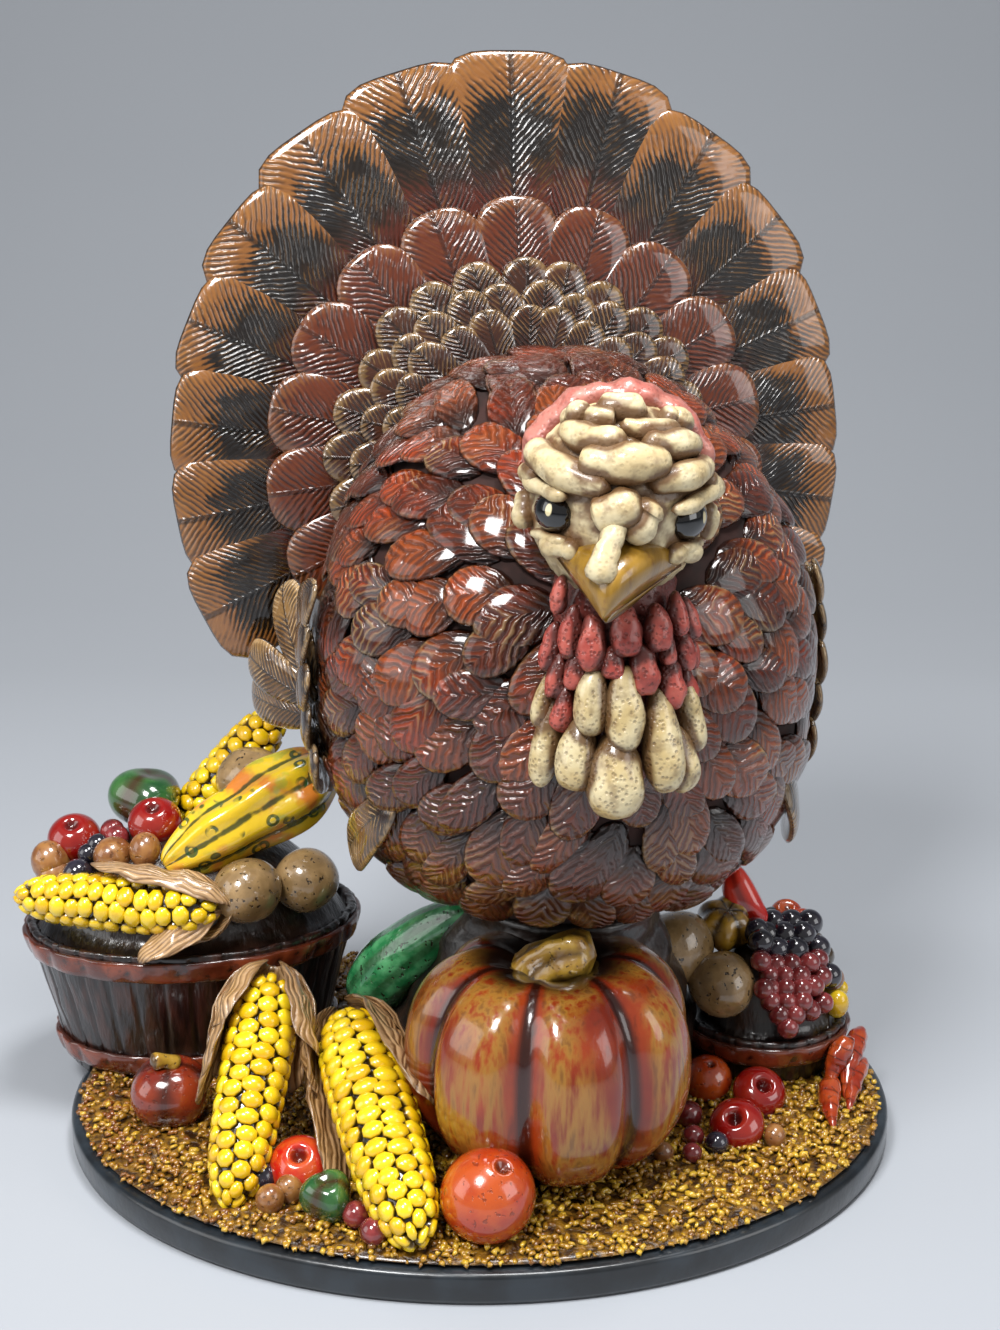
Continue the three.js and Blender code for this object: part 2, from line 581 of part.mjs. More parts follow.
const APPLE_SPOTS = [[-0.69, 0.07, 2], [-0.2, -0.09, -2]];
APPLE_SPOTS.forEach(([shareX, shareY, lift], i) => {
  const at = inBasket(largeBasket, shareX, shareY, BASKET_APPLE.length / 2, lift);
  addPlump(figure, `basket_apple_${i + 1}`, FINISH.red, BASKET_APPLE, at, [0, -0.5, 1]);
});
const pepperAt = inBasket(largeBasket, -0.25, 0.24, BASKET_PEPPER.length / 2);
addPlump(figure, 'basket_pepper', FINISH.green, BASKET_PEPPER, pepperAt, [0.2, 0, 1]);
const REAR_POTATO_LIFT = 8.5;
const rearPotatoAt = inBasket(largeBasket, 0.37, 0.1, REAR_POTATO.footRadius, REAR_POTATO_LIFT);
addPlump(figure, 'rear_potato', FINISH.potato, REAR_POTATO, rearPotatoAt, [1, 0, 0.3]);
const REAR_COB_LIFT = 10;
const rearCobAt = inBasket(largeBasket, 0.26, 0.34, REAR_COB.footRadius, REAR_COB_LIFT);
addPlump(figure, 'rear_cob', FINISH.kernel, REAR_COB, rearCobAt, [0.65, 0.16, 0.74]);

// A bunch of grapes in rows along X: [grapes, how far back the row lies, its height], in pitches
function bunchShape(grape, rows, grow) {
  const pitch = GRAPE_SPACING * grape.length;
  const grapes = rows.flatMap(([count, back, rise]) =>
    Array.from({ length: count }, (_, i) => {
      const across = (i - (count - 1) / 2) * pitch;
      return plump(grape, grow).translate(across, back * pitch, rise * pitch);
    }),
  );
  return joined(grapes);
}

// Produce in the small basket and spilling from it
const rightPotatoRest = RIGHT_SMALL_POTATO.footRadius - RIGHT_POTATO_SINK;
const rightPotatoAt = inBasket(smallBasket, -0.59, -0.5, rightPotatoRest);
addPlump(figure, 'right_small_potato', FINISH.potato, RIGHT_SMALL_POTATO, rightPotatoAt);
const leftPotatoAt = aboveGround(0.495, 0.1, LEFT_POTATO_HEIGHT);
addPlump(figure, 'left_small_potato', FINISH.potato, LEFT_SMALL_POTATO, leftPotatoAt, [1, 0.3, 0.2]);
const GOLD_GOURD_LIFT = 3.5;
const goldGourdAt = inBasket(smallBasket, -0.52, 0.1, GOLD_GOURD.length / 2, GOLD_GOURD_LIFT);
addPlump(figure, 'gold_gourd', FINISH.gourd, GOLD_GOURD, goldGourdAt, [0.1, -0.5, 1]);
const RED_PEPPER_LIFT = 4;
const redPepperAt = inBasket(smallBasket, -0.28, 0.27, RED_PEPPER.length / 2, RED_PEPPER_LIFT);
addPlump(figure, 'red_pepper', FINISH.red, RED_PEPPER, redPepperAt, [-0.5, 0.2, 0.85]);
const SMALL_TOMATO_SPOTS = [[0.28, 0.4, 6], [0.46, 0.23, 5]];
SMALL_TOMATO_SPOTS.forEach(([shareX, shareY, lift], i) => {
  const at = inBasket(smallBasket, shareX, shareY, SMALL_TOMATO.length / 2, lift);
  addPlump(figure, `small_tomato_${i + 1}`, FINISH.orange, SMALL_TOMATO, at, [0, -0.5, 1]);
});
const DARK_GRAPE_ROWS = [[2, -0.5, -0.5], [3, 0.4, 0], [4, 1.3, 0.3]];
const DARK_GRAPES_LIFT = 2;
const darkGrapesAt = inBasket(smallBasket, 0.2, -0.1, DARK_GRAPE.footRadius, DARK_GRAPES_LIFT);
const darkGrapesShape = (grow) => bunchShape(DARK_GRAPE, DARK_GRAPE_ROWS, grow);
addPiece(figure, 'dark_grapes', FINISH.grape, darkGrapesShape, darkGrapesAt);
const RED_GRAPE_ROWS = [
  [1, 0, 0],
  [2, 0.45, 0.7],
  [3, 0.9, 1.4],
  [3, 1.45, 2.05],
  [3, 2.1, 2.65],
  [2, 2.75, 3.15],
];
const RED_GRAPES_LIFT = 5;
const redGrapesAt = inBasket(smallBasket, 0.15, -0.95, RED_GRAPE.footRadius, RED_GRAPES_LIFT);
const redGrapesShape = (grow) => bunchShape(RED_GRAPE, RED_GRAPE_ROWS, grow);
addPiece(figure, 'red_grapes', FINISH.wine, redGrapesShape, redGrapesAt);

// Mound: it narrows from its foot to a flat seat under the turkey, with a spigot in the middle. It stands
// round the produce that is set against it.
function moundShape(grow) {
  const profile = [
    [0, -grow],
    [MOUND_FOOT_RADIUS + grow, -grow],
    [MOUND_WAIST_RADIUS + grow, MOUND_HEIGHT / 2],
    [MOUND_SEAT_RADIUS + grow, MOUND_HEIGHT + grow],
    [SPIGOT_RADIUS + grow, MOUND_HEIGHT + grow],
    [SPIGOT_RADIUS + grow, MOUND_HEIGHT + SPIGOT_HEIGHT + grow],
    [0, MOUND_HEIGHT + SPIGOT_HEIGHT + grow],
  ];
  const sides = 18;
  const mound = turned(profile, sides);
  const position = mound.getAttribute('position');
  for (let i = 0; i < position.count; i++) {
    const share = Math.max(0, 1 - position.getZ(i) / MOUND_HEIGHT);
    position.setX(i, position.getX(i) + MOUND_SHIFT[0] * share);
    position.setY(i, position.getY(i) + MOUND_SHIFT[1] * share);
  }
  return mound;
}
addPiece(figure, 'mound', FINISH.earth, moundShape, onGround(...TURKEY_SPOT, 0));

// Turkey: its group stands on the mound's seat, with its origin in the middle of its foot
const SEAT_HEIGHT = MOUND_HEIGHT - BEDDING + CLEARANCE;
turkey.position.set(...aboveGround(...TURKEY_SPOT, SEAT_HEIGHT));
turkey.rotation.z = radians(TURKEY_YAW);

// How far the body's axis lies behind the foot's middle, at a height above the body's widest level
function bodyLean(height) {
  return BODY_LEAN * (Math.max(0, height) / BODY_ABOVE) ** 2;
}

// A point of the body's egg, grown or shrunk, in a direction from its middle: the egg is an ellipsoid that
// is fuller below and leans back above
function onEgg([x, y, z], grow) {
  const power = z < 0 ? BODY_SQUARENESS : 2;
  const reach = (Math.hypot(x, y) ** power + Math.abs(z) ** power) ** (-1 / power);
  const height = z * reach * ((z < 0 ? BODY_BELOW : BODY_ABOVE) + grow);
  const back = y * reach * (BODY_DEPTH / 2 + grow) + bodyLean(height);
  return [x * reach * (BODY_WIDTH / 2 + grow), back, height + BODY_LIFT];
}

// The body's egg, grown or shrunk, all round
function bodyEgg(grow, around, along) {
  const egg = new THREE.SphereGeometry(1, around, along).rotateX(Math.PI / 2);
  const position = egg.getAttribute('position');
  for (let i = 0; i < position.count; i++) {
    position.setXYZ(i, ...onEgg([position.getX(i), position.getY(i), position.getZ(i)], grow));
  }
  return egg;
}

// A point of the body's surface: bearing is measured from the front towards the right, in degrees, and height
// from the body's widest level
function onBody(bearing, height, outset = 0) {
  const below = height < 0;
  const power = below ? BODY_SQUARENESS : 2;
  const share = Math.abs(height) / (below ? BODY_BELOW : BODY_ABOVE);
  const ring = (1 - share ** power) ** (1 / power);
  const x = ((ring * BODY_WIDTH) / 2 + outset) * Math.sin(radians(bearing));
  const y = -((ring * BODY_DEPTH) / 2 + outset) * Math.cos(radians(bearing));
  return [x, y + bodyLean(height), height + BODY_LIFT];
}

// The body: an egg with a flat foot, hollow inside, with a hole in its foot that takes the spigot
function bodyShape(grow) {
  const big = 2 * (BODY_WIDTH + BODY_DEPTH);
  const slabBelow = (top) => solidOf(new THREE.BoxGeometry(big, big, big).translate(0, 0, top - big / 2));
  const outside = solidOf(bodyEgg(grow, 20, 12)).subtract(slabBelow(-grow));
  if (grow > 0) return geometryOf(outside);
  const inside = solidOf(bodyEgg(-BODY_WALL, 14, 9)).subtract(slabBelow(BODY_WALL));
  const holeRadius = SPIGOT_RADIUS + SPIGOT_CLEARANCE;
  const hole = new THREE.CylinderGeometry(holeRadius, holeRadius, BODY_LIFT, 18).rotateX(Math.PI / 2);
  return geometryOf(outside.subtract(inside).subtract(solidOf(hole)));
}
addPiece(turkey, 'turkey_body', FINISH.feather, bodyShape);

// A fan of feathers in the XZ plane round its middle. Each feather is a paddle with a round tip, a step
// behind the one above it.
function fanShape(spec, grow) {
  const { count, tipRadius, sideRadius, thickness, step } = spec;
  const pitch = TAIL_SPREAD / (count - 1);
  const rootRadius = tipRadius / 5;
  const rootShare = 0.3; // of the feather's width, at its root
  const lap = 1.08; // the width of a feather against its share of the fan
  const depth = thickness + 2 * grow;
  const hub = new THREE.CylinderGeometry(2 * rootRadius, 2 * rootRadius, depth, 18);
  const feathers = [hub];
  for (let i = 0; i < count; i++) {
    const place = i - (count - 1) / 2;
    const angle = place * pitch;
    const radius = lerp(tipRadius, sideRadius, Math.sin(radians(angle)) ** 2);
    const halfWidth = radius * Math.sin(radians(pitch / 2)) * lap;
    const shoulder = radius - halfWidth;
    const outline = new THREE.Shape();
    outline.moveTo(-halfWidth * rootShare, rootRadius);
    outline.lineTo(halfWidth * rootShare, rootRadius);
    outline.lineTo(halfWidth + grow, shoulder);
    outline.absarc(0, shoulder, halfWidth + grow, 0, Math.PI);
    const paddle = new THREE.ExtrudeGeometry(outline, { depth, bevelEnabled: false, curveSegments: 3 });
    paddle.translate(0, 0, -depth / 2 - step * Math.abs(place)).rotateZ(radians(-angle));
    feathers.push(paddle.rotateX(Math.PI / 2));
  }
  return joined(feathers);
}

const TAIL_DIRECTION = [0, Math.sin(radians(TAIL_LEAN)), Math.cos(radians(TAIL_LEAN))];
const TAIL = {
  count: TAIL_FEATHERS,
  tipRadius: TAIL_RADIUS,
  sideRadius: TAIL_SIDE_RADIUS,
  thickness: TAIL_THICKNESS,
  step: FEATHER_STEP,
};
const COVERTS = {
  count: COVERT_FEATHERS,
  tipRadius: COVERT_RADIUS,
  sideRadius: COVERT_RADIUS,
  thickness: COVERT_THICKNESS,
  step: 0,
};
const INNER_COVERTS = {
  count: INNER_COVERT_FEATHERS,
  tipRadius: INNER_COVERT_RADIUS,
  sideRadius: INNER_COVERT_RADIUS,
  thickness: COVERT_THICKNESS,
  step: 0,
};
const COVERT_AHEAD = TAIL_THICKNESS / 2 + COVERT_THICKNESS / 2 + CLEARANCE;
const INNER_COVERT_AHEAD = COVERT_AHEAD + COVERT_THICKNESS + CLEARANCE;

// A fan of the tail, some way ahead of its middle plane
function addFan(name, surface, fan, ahead) {
  const at = [TAIL_SHIFT, TAIL_BEHIND - ahead, BODY_LIFT + TAIL_RISE];
  addPiece(turkey, name, surface, (grow) => fanShape(fan, grow), at, TAIL_DIRECTION);
}
addFan('tail_fan', FINISH.tail, TAIL, 0);
addFan('covert_fan', FINISH.feather, COVERTS, COVERT_AHEAD);
addFan('inner_covert_fan', FINISH.tan, INNER_COVERTS, INNER_COVERT_AHEAD);

// A place by the body, at [bearing, height, outset]. Height and outset are shares of the body below its
// widest level, and a share of the outset may be taken.
function byBody([bearing, height, outset], share = 1) {
  return onBody(bearing, height * BODY_BELOW, outset * BODY_BELOW * share);
}

// A wing on the right: a folded pad that bends round the flank, and feathers from its root to their tips
const WING_MIDDLE = [99, -0.18, 0];
const WING_UPWARD = [0.12, -0.3, 1];
const WING_ROOT = [108, -0.24, 0.06];
const WING_TIPS = [[119, 0.18, 0.26], [118, -0.1, 0.4], [119, -0.27, 0.42], [115, -0.45, 0.14]];
function wingShape(side, spread, grow) {
  const facing = [0.7, -0.7, 0];
  const pad = plump(WING_PAD, grow).applyMatrix4(placing(byBody(WING_MIDDLE), WING_UPWARD, FRONT));
  const root = byBody(WING_ROOT);
  const tips = WING_TIPS.map((tip) => byBody(tip, spread));
  const feathers = tips.map((tip) => plumpBetween(WING_FEATHER, root, tip, facing, grow));
  return joined([pad, ...feathers].map((piece) => piece.scale(side, 1, 1)));
}
addPiece(turkey, 'left_wing', FINISH.tan, (grow) => wingShape(-1, LEFT_WING_SPREAD, grow));
addPiece(turkey, 'right_wing', FINISH.tan, (grow) => wingShape(1, RIGHT_WING_SPREAD, grow));

// Head: its group has its origin in the head's middle and is turned to the left
const HEAD_FRONT = onBody(0, HEAD_RISE);
headGroup.position.set(0, HEAD_FRONT[1] - HEAD_DEPTH / 2 + HEAD_SINK, HEAD_FRONT[2]);
headGroup.rotation.z = radians(HEAD_YAW);

// A point on the head: bearing from the front towards the right and rise from its middle, in degrees
function onHead(bearing, rise, outset = 0) {
  const [b, r] = [radians(bearing), radians(rise)];
  return [
    (HEAD_WIDTH / 2 + outset) * Math.sin(b) * Math.cos(r),
    -(HEAD_DEPTH / 2 + outset) * Math.cos(b) * Math.cos(r),
    (HEAD_HEIGHT / 2 + outset) * Math.sin(r),
  ];
}

const HEAD_GIRTH = { footRadius: HEAD_WIDTH / 2, depthShare: HEAD_DEPTH / HEAD_WIDTH };
const HEAD = { length: HEAD_HEIGHT, ...HEAD_GIRTH, around: 16, along: 10 };
addPlump(headGroup, 'head', FINISH.cream, HEAD, [0, 0, 0]);
addPlump(headGroup, 'neck', FINISH.pink, NECK, [0, 0, -NECK.length / 2]);
const EYE_BEARING = 52;
const EYE_RISE = -6;
for (const [name, side] of [['left_eye', -1], ['right_eye', 1]]) {
  const at = onHead(side * EYE_BEARING, EYE_RISE, -EYE.footRadius / 2);
  addPlump(headGroup, name, FINISH.eye, EYE, at);
}
const BEAK_SINK = 2; // of the beak's middle into the head
const SNOOD_PROUD = 2;
const upperBeakAt = onHead(0, -34, -BEAK_SINK);
addPlump(headGroup, 'upper_beak', FINISH.beak, UPPER_BEAK, upperBeakAt, [-0.1, -0.42, -0.9]);
const lowerBeakAt = onHead(0, -48, -BEAK_SINK / 2);
addPlump(headGroup, 'lower_beak', FINISH.beak, LOWER_BEAK, lowerBeakAt, [-0.1, -0.3, -0.95]);
addPlump(headGroup, 'snood', FINISH.cream, SNOOD, onHead(-6, 0, SNOOD_PROUD), [-0.1, -0.3, -1]);

// Folds across the forehead and crown: rows of [rise on the head, folds in the row]
const FOLD_ROWS = [[78, 1], [52, 2], [28, 2]];
function foldsShape(grow) {
  const foldPitch = 48; // degrees between the folds of a row
  const droop = 0.5; // the slope of a fold's outer end
  const folds = FOLD_ROWS.flatMap(([rise, count]) =>
    Array.from({ length: count }, (_, i) => {
      const side = i - (count - 1) / 2;
      const bearing = side * foldPitch;
      const across = [Math.cos(radians(bearing)), Math.sin(radians(bearing)), side * droop];
      return plump(FOREHEAD_FOLD, grow).applyMatrix4(placing(onHead(bearing, rise), across));
    }),
  );
  return joined(folds);
}
addPiece(headGroup, 'forehead_folds', FINISH.cream, foldsShape);

// Rim behind the crown: a tube from one cheek over the head to the other
function crownRimShape(grow) {
  const setback = HEAD_DEPTH / 12;
  const points = [-70, -40, 0, 40, 70].map((lean) => {
    const [sin, cos] = [Math.sin(radians(lean)), Math.cos(radians(lean))];
    return new THREE.Vector3((HEAD_WIDTH / 2) * sin, setback, (HEAD_HEIGHT / 2) * cos);
  });
  const section = new THREE.Shape().absarc(0, 0, CROWN_RIM_RADIUS + grow, 0, 2 * Math.PI);
  const extrudePath = new THREE.CatmullRomCurve3(points);
  const settings = { steps: 12, curveSegments: 3, bevelEnabled: false, extrudePath };
  return new THREE.ExtrudeGeometry(section, settings);
}
addPiece(headGroup, 'crown_rim', FINISH.pink, crownRimShape);

// Hanging drops on the front of the neck, in rows of [drops, how far below the head's middle], where the
// second is a share of the neck's length
function dropsShape(drop, rows, grow) {
  const ahead = NECK.footRadius + drop.footRadius / 2;
  const pitch = 1.8 * drop.tipRadius;
  const [splay, lean] = [0.2, -0.12]; // how far a drop hangs out to its side and forwards
  const drops = rows.flatMap(([count, below]) =>
    Array.from({ length: count }, (_, i) => {
      const angle = ((i - (count - 1) / 2) * pitch) / ahead;
      const at = [ahead * Math.sin(angle), -ahead * Math.cos(angle), -below * NECK.length];
      return plump(drop, grow).applyMatrix4(placing(at, [splay * Math.sin(angle), lean, -1]));
    }),
  );
  return joined(drops);
}
const RED_ROWS = [[3, 0.36], [4, 0.48], [3, 0.59]];
const CREAM_ROWS = [[3, 0.68], [2, 0.8]];
addPiece(headGroup, 'red_wattle', FINISH.pink, (grow) => dropsShape(RED_DROP, RED_ROWS, grow));
addPiece(headGroup, 'cream_dewlap', FINISH.cream, (grow) => dropsShape(CREAM_DROP, CREAM_ROWS, grow));

// A direction from the body's middle, by its angle from the neck's direction and its angle round that
function bodyWay(fromNeck, round) {
  const [angle, turn, rise] = [radians(fromNeck), radians(round), radians(NECK_RISE)];
  const [ahead, over] = [Math.cos(angle), Math.sin(angle) * Math.sin(turn)];
  const back = over * Math.sin(rise) - ahead * Math.cos(rise);
  return [Math.sin(angle) * Math.cos(turn), back, ahead * Math.sin(rise) + over * Math.cos(rise)];
}

// A feather from its root to its tip, facing away from the body's middle and carried down into the body
function featherBetween(spec, root, tip) {
  const out = new THREE.Vector3(...tip).sub(new THREE.Vector3(0, 0, BODY_LIFT));
  const feather = plumpBetween(spec, root, tip, out.toArray());
  const seat = out.setLength(-FEATHER_SEAT).toArray();
  return geometryOf(solidOf(joined([feather, feather.clone().translate(...seat)])).hull());
}

// The body's feathers: rings of them round the neck, each from a root in the body to a tip that stands off
// it, away from the head, and a long one low on each flank
const FLANK_ROOT = [54, -0.39, -0.02];
const FLANK_TIP = [80, -0.7, 0.1];
const ROOT_SHARE = 0.35; // of a feather's length, on the head's side of its ring
const LOWEST_TIP = 6; // of a feather, above the foot
function featherShapes() {
  const feathers = [];
  for (let ring = 0; ring < FEATHER_RINGS; ring++) {
    const angle = FIRST_FEATHER_RING + ring * FEATHER_RING_PITCH;
    const count = Math.round((360 * Math.sin(radians(angle))) / FEATHER_PITCH);
    for (let i = 0; i < count; i++) {
      const round = (360 * (i + (ring % 2) / 2)) / count;
      const swing = FEATHER_SWING * (2 * scatter(ring, i) - 1);
      const root = onEgg(bodyWay(angle - ROOT_SHARE * FEATHER_ARC, round), -FEATHER_PROUD);
      const tipAngle = angle + (1 - ROOT_SHARE) * FEATHER_ARC;
      const tip = onEgg(bodyWay(tipAngle, round + swing), FEATHER_PROUD);
      if (tip[2] > LOWEST_TIP) feathers.push(featherBetween(BODY_FEATHER, root, tip));
    }
  }
  for (const side of [-1, 1]) {
    const flank = featherBetween(FLANK_FEATHER, byBody(FLANK_ROOT), byBody(FLANK_TIP));
    feathers.push(flank.scale(side, 1, 1));
  }
  return feathers;
}

// Joins the feathers to the body. They stop short of the pieces that are set on the body, and of those on the
// base that the turkey lifts away from.
function addFeathers(body) {
  const toBody = body.matrixWorld.clone().invert();
  const core = solidOf(bodyEgg(-BODY_WALL / 2, 14, 9)); // no feather reaches past the middle of the wall
  let feathers = solidOf(joined(featherShapes())).subtract(core);
  for (const { mesh, shape, grown } of placed.filter((piece) => piece.mesh !== body)) {
    const room = mesh.parent === figure ? shape(LIFT_CLEARANCE) : grown;
    feathers = feathers.subtract(solidOf(room, toBody.clone().multiply(mesh.matrixWorld)));
  }
  const parts = solidOf(body.geometry).add(feathers).decompose();
  body.geometry = geometryOf(parts.sort((a, b) => b.volume() - a.volume())[0]);
}
addFeathers(turkey.getObjectByName('turkey_body'));

export default figure;
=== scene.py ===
"""Looks of a harvest turkey figure in glazed ceramic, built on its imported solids.

Lengths are in millimetres until put() makes metres of them. Left and right are as seen from the front.
"""

import bpy
import numpy as np
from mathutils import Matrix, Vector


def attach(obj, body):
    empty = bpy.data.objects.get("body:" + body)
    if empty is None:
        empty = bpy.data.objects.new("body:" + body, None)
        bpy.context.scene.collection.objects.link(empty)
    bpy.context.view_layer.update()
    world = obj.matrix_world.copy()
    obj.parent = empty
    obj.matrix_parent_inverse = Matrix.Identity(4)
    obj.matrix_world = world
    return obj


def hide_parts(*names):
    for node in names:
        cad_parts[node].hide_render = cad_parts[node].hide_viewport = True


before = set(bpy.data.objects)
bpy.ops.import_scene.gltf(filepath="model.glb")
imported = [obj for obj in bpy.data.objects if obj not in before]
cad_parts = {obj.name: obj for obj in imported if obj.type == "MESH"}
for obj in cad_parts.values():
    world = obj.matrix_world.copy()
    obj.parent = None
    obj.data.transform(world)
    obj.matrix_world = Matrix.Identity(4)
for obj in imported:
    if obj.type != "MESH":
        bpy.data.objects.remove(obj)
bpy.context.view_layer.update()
dice = np.random.default_rng(11)

PLINTH_HALF_LENGTH, PLINTH_HALF_DEPTH = 126, 103
GROUND_HALF_LENGTH, GROUND_HALF_DEPTH = 123, 100
GROUND_LEVEL, STRAW_LEVEL = 9.5, 12
TURKEY_YAW, HEAD_YAW = 10, -9  # degrees; the head's is against the turkey's
BODY_HALF_WIDTH, BODY_HALF_DEPTH = 69, 64
BODY_ABOVE, BODY_BELOW = 82, 77  # from the body's widest level
BODY_LIFT = 74  # from the foot to the widest level
BODY_LEAN = 20  # of the top, backwards
BODY_WALL = 6
FOOT_HOLE_RADIUS = 15.2
NECK_RISE = 20  # degrees
HEAD_HALF_WIDTH, HEAD_HALF_DEPTH = 22.5, 25
HEAD_ABOVE, HEAD_BELOW = 23.8, 27  # from the head's middle
EYES = (("left_eye", -51, -4), ("right_eye", 52, -9))  # bearing from the front and rise, in degrees
TAIL_MIDDLE = np.array([-5, 53, 121])  # in the turkey's axes
TAIL_SPREAD, TAIL_LEAN = 231, 6  # degrees
TURKEY_PLACE = (25.215, -10, 78.3)
HEAD_PLACE = (0, -58.35, 131)  # in the turkey's axes
MOUND_PLACE = (25.2, -10)
FOCAL_PIXELS, PICTURE_PIXELS = 1900, 1330  # the focal length and the picture's height
DENT_STEPS = 9  # turns of the mesh to a stave of a basket, or to a dent of a hoop


# Shapes

def unit(v):
    """Vectors of length 1."""
    return v / np.maximum(np.linalg.norm(v, axis=-1, keepdims=True), 1e-9)


def turn(points, degrees):
    """Points turned about Z."""
    cos, sin = np.cos(np.radians(degrees)), np.sin(np.radians(degrees))
    x, y, z = np.moveaxis(np.asarray(points, float), -1, 0)
    return np.stack([cos * x - sin * y, sin * x + cos * y, z], -1)


def lumps(points, size, seed):
    """Smooth unevenness from about -1 to 1: the sum of nine waves of about that size in random directions."""
    waves = np.random.default_rng(seed)
    pull = unit(waves.normal(size=(9, 3))) * (2 * np.pi / size) * waves.uniform(0.7, 1.4, (9, 1))
    return np.sin(points @ pull.T + waves.uniform(0, 6.3, 9)).sum(-1) / 4


def frames(along, out):
    """Axes of bodies: Z along, X across out and Z, and Y completing them, each [body, 3]."""
    z = unit(np.atleast_2d(np.asarray(along, float)))
    x = unit(np.cross(np.broadcast_to(out, z.shape), z))
    return x, np.cross(z, x), z


def plump(at, along, length, foot, tip=None, out=(0, 1, 0), ribs=0, rib=0.0, sharp=1.0, dimple=0.0, pit=0.4,
          bend=0.0, full=2.0, flat=1.0, boxy=2.0, rings=22, turns=32, uneven=0.0, seed=1):
    """Round or long bodies. z runs from -1 at the foot to 1 at the tip; the girth goes from the foot's radius
    to the tip's, times (1 - |z|^full)^(1/full), where full may differ below and above the middle; ribs cut it
    by the depth times ((1 + cos(ribs * angle)) / 2)^sharp; a dimple pulls in both ends over a pit, a share of
    the girth, a bend of z squared goes across, flat is Y's share of the girth, and boxy is the power of the
    section's outline. Returns the points, the skin (cosine, sine, z) and the groove, 1 between two ribs."""
    x_axis, y_axis, z_axis = (a[:, None, None] for a in frames(along, out))
    at = np.atleast_2d(np.asarray(at, float))[:, None, None]
    length, foot, flat = (np.atleast_1d(np.asarray(v, float))[:, None, None] for v in (length, foot, flat))
    tip = foot if tip is None else np.atleast_1d(np.asarray(tip, float))[:, None, None]
    angle = (2 * np.pi * (np.arange(turns) + 0.5) / turns)[None, None]
    z = -np.cos(np.linspace(0, np.pi, rings))[None, :, None]
    power = np.where(z < 0, *np.broadcast_to(full, 2))
    ring = np.clip(1 - np.abs(z) ** power, 0, 1) ** (1 / power)
    groove = ((1 + np.cos(ribs * angle)) / 2) ** sharp
    corner = (np.abs(np.cos(angle)) ** boxy + np.abs(np.sin(angle)) ** boxy) ** (-1 / boxy)
    girth = (foot + (tip - foot) * (z + 1) / 2) * (1 - rib * groove) * ring * corner
    pull = dimple * np.exp(-(ring / pit) ** 2) * np.sign(z)
    across = np.cos(angle) * girth + bend * z * z
    back = np.sin(angle) * girth * flat
    points = at + across[..., None] * x_axis + back[..., None] * y_axis
    points = points + (z * length / 2 - pull)[..., None] * z_axis
    if uneven:
        away = unit(points - at)
        points = points + away * (uneven * lumps(points, 2.2 * float(np.mean(foot)), seed))[..., None]
    skin = np.stack(np.broadcast_arrays(np.cos(angle), np.sin(angle), z), -1)
    return points, skin, groove * np.ones_like(z)


def bezier(path, steps):
    """Points of cubic curves whose control points are path[body, 4]."""
    t = np.linspace(0, 1, steps)[None, :, None]
    a, b, c, d = (path[:, i, None] for i in range(4))
    return (1 - t) ** 3 * a + 3 * (1 - t) ** 2 * t * b + 3 * (1 - t) * t ** 2 * c + t ** 3 * d


def leaves(path, face, width, thick, taper=0.3, square=2.4, cup=0.0, grid=(7, 3, 24), tilt=0.0):
    """Closed leaves along cubic curves path[body, 4]. Rings run from the middle of the underside out to the
    rim and in over the face, on a disc of x across and y from the root, -1, to the tip, 1, with squared
    corners. A point lies on the curve at y, width * x * (1 + taper * y) across it, and thick * sqrt(1 -
    reach^4) + cup * x^2 + tilt * x above it. Returns the points and the disc's own coordinates."""
    over, under, turns = grid
    reach = np.concatenate([np.linspace(0, 1, under + 1)[:-1], np.linspace(1, 0, over + 1)])
    reach = np.sin(reach * np.pi / 2)[:, None]
    side = np.where(np.arange(over + under + 1) < under, -0.7, 1.0)[:, None]
    angle = 2 * np.pi * (np.arange(turns) + 0.5) / turns
    corner = (np.abs(np.cos(angle)) ** square + np.abs(np.sin(angle)) ** square) ** (-1 / square)
    x, y = reach * np.cos(angle) * corner, reach * np.sin(angle) * corner
    t = ((y + 1) / 2)[None, ..., None]
    a, b, c, d = (path[:, i, None, None] for i in range(4))
    centre = (1 - t) ** 3 * a + 3 * (1 - t) ** 2 * t * b + 3 * (1 - t) * t ** 2 * c + t ** 3 * d
    tangent = unit((1 - t) ** 2 * (b - a) + 2 * (1 - t) * t * (c - b) + t ** 2 * (d - c))
    face = np.broadcast_to(face, (len(path), 3))[:, None, None]
    normal = unit(face - (face * tangent).sum(-1, keepdims=True) * tangent)
    across = np.cross(tangent, normal)
    width, thick, tilt = (np.atleast_1d(np.asarray(v, float))[:, None, None] for v in (width, thick, tilt))
    wide = width * x * (1 + taper * y) / (1 + taper / 2)
    high = thick * np.sqrt(np.clip(1 - reach ** 4, 0, 1)) * side + cup * x * x + tilt * x
    points = centre + across * wide[..., None] + normal * high[..., None]
    return points, np.stack([(x + 1) / 2, (y + 1) / 2], -1)[None]


def tubes(path, radius, out, turns=14, flat=1.0):
    """Closed tubes: a circle of radius[body, step], flattened towards out, carried along path[body, step].
    The radius is nothing at both ends. Returns the points and how far each faces out, from -1 to 1."""
    tangent = unit(np.gradient(path, axis=1))
    out = np.broadcast_to(out, path.shape)
    normal = unit(out - (out * tangent).sum(-1, keepdims=True) * tangent)
    across = np.cross(tangent, normal)
    angle = 2 * np.pi * np.arange(turns) / turns
    ring = np.cos(angle)[:, None] * across[:, :, None] + flat * np.sin(angle)[:, None] * normal[:, :, None]
    return path[:, :, None] + radius[:, :, None, None] * ring, np.sin(angle)[None, None]


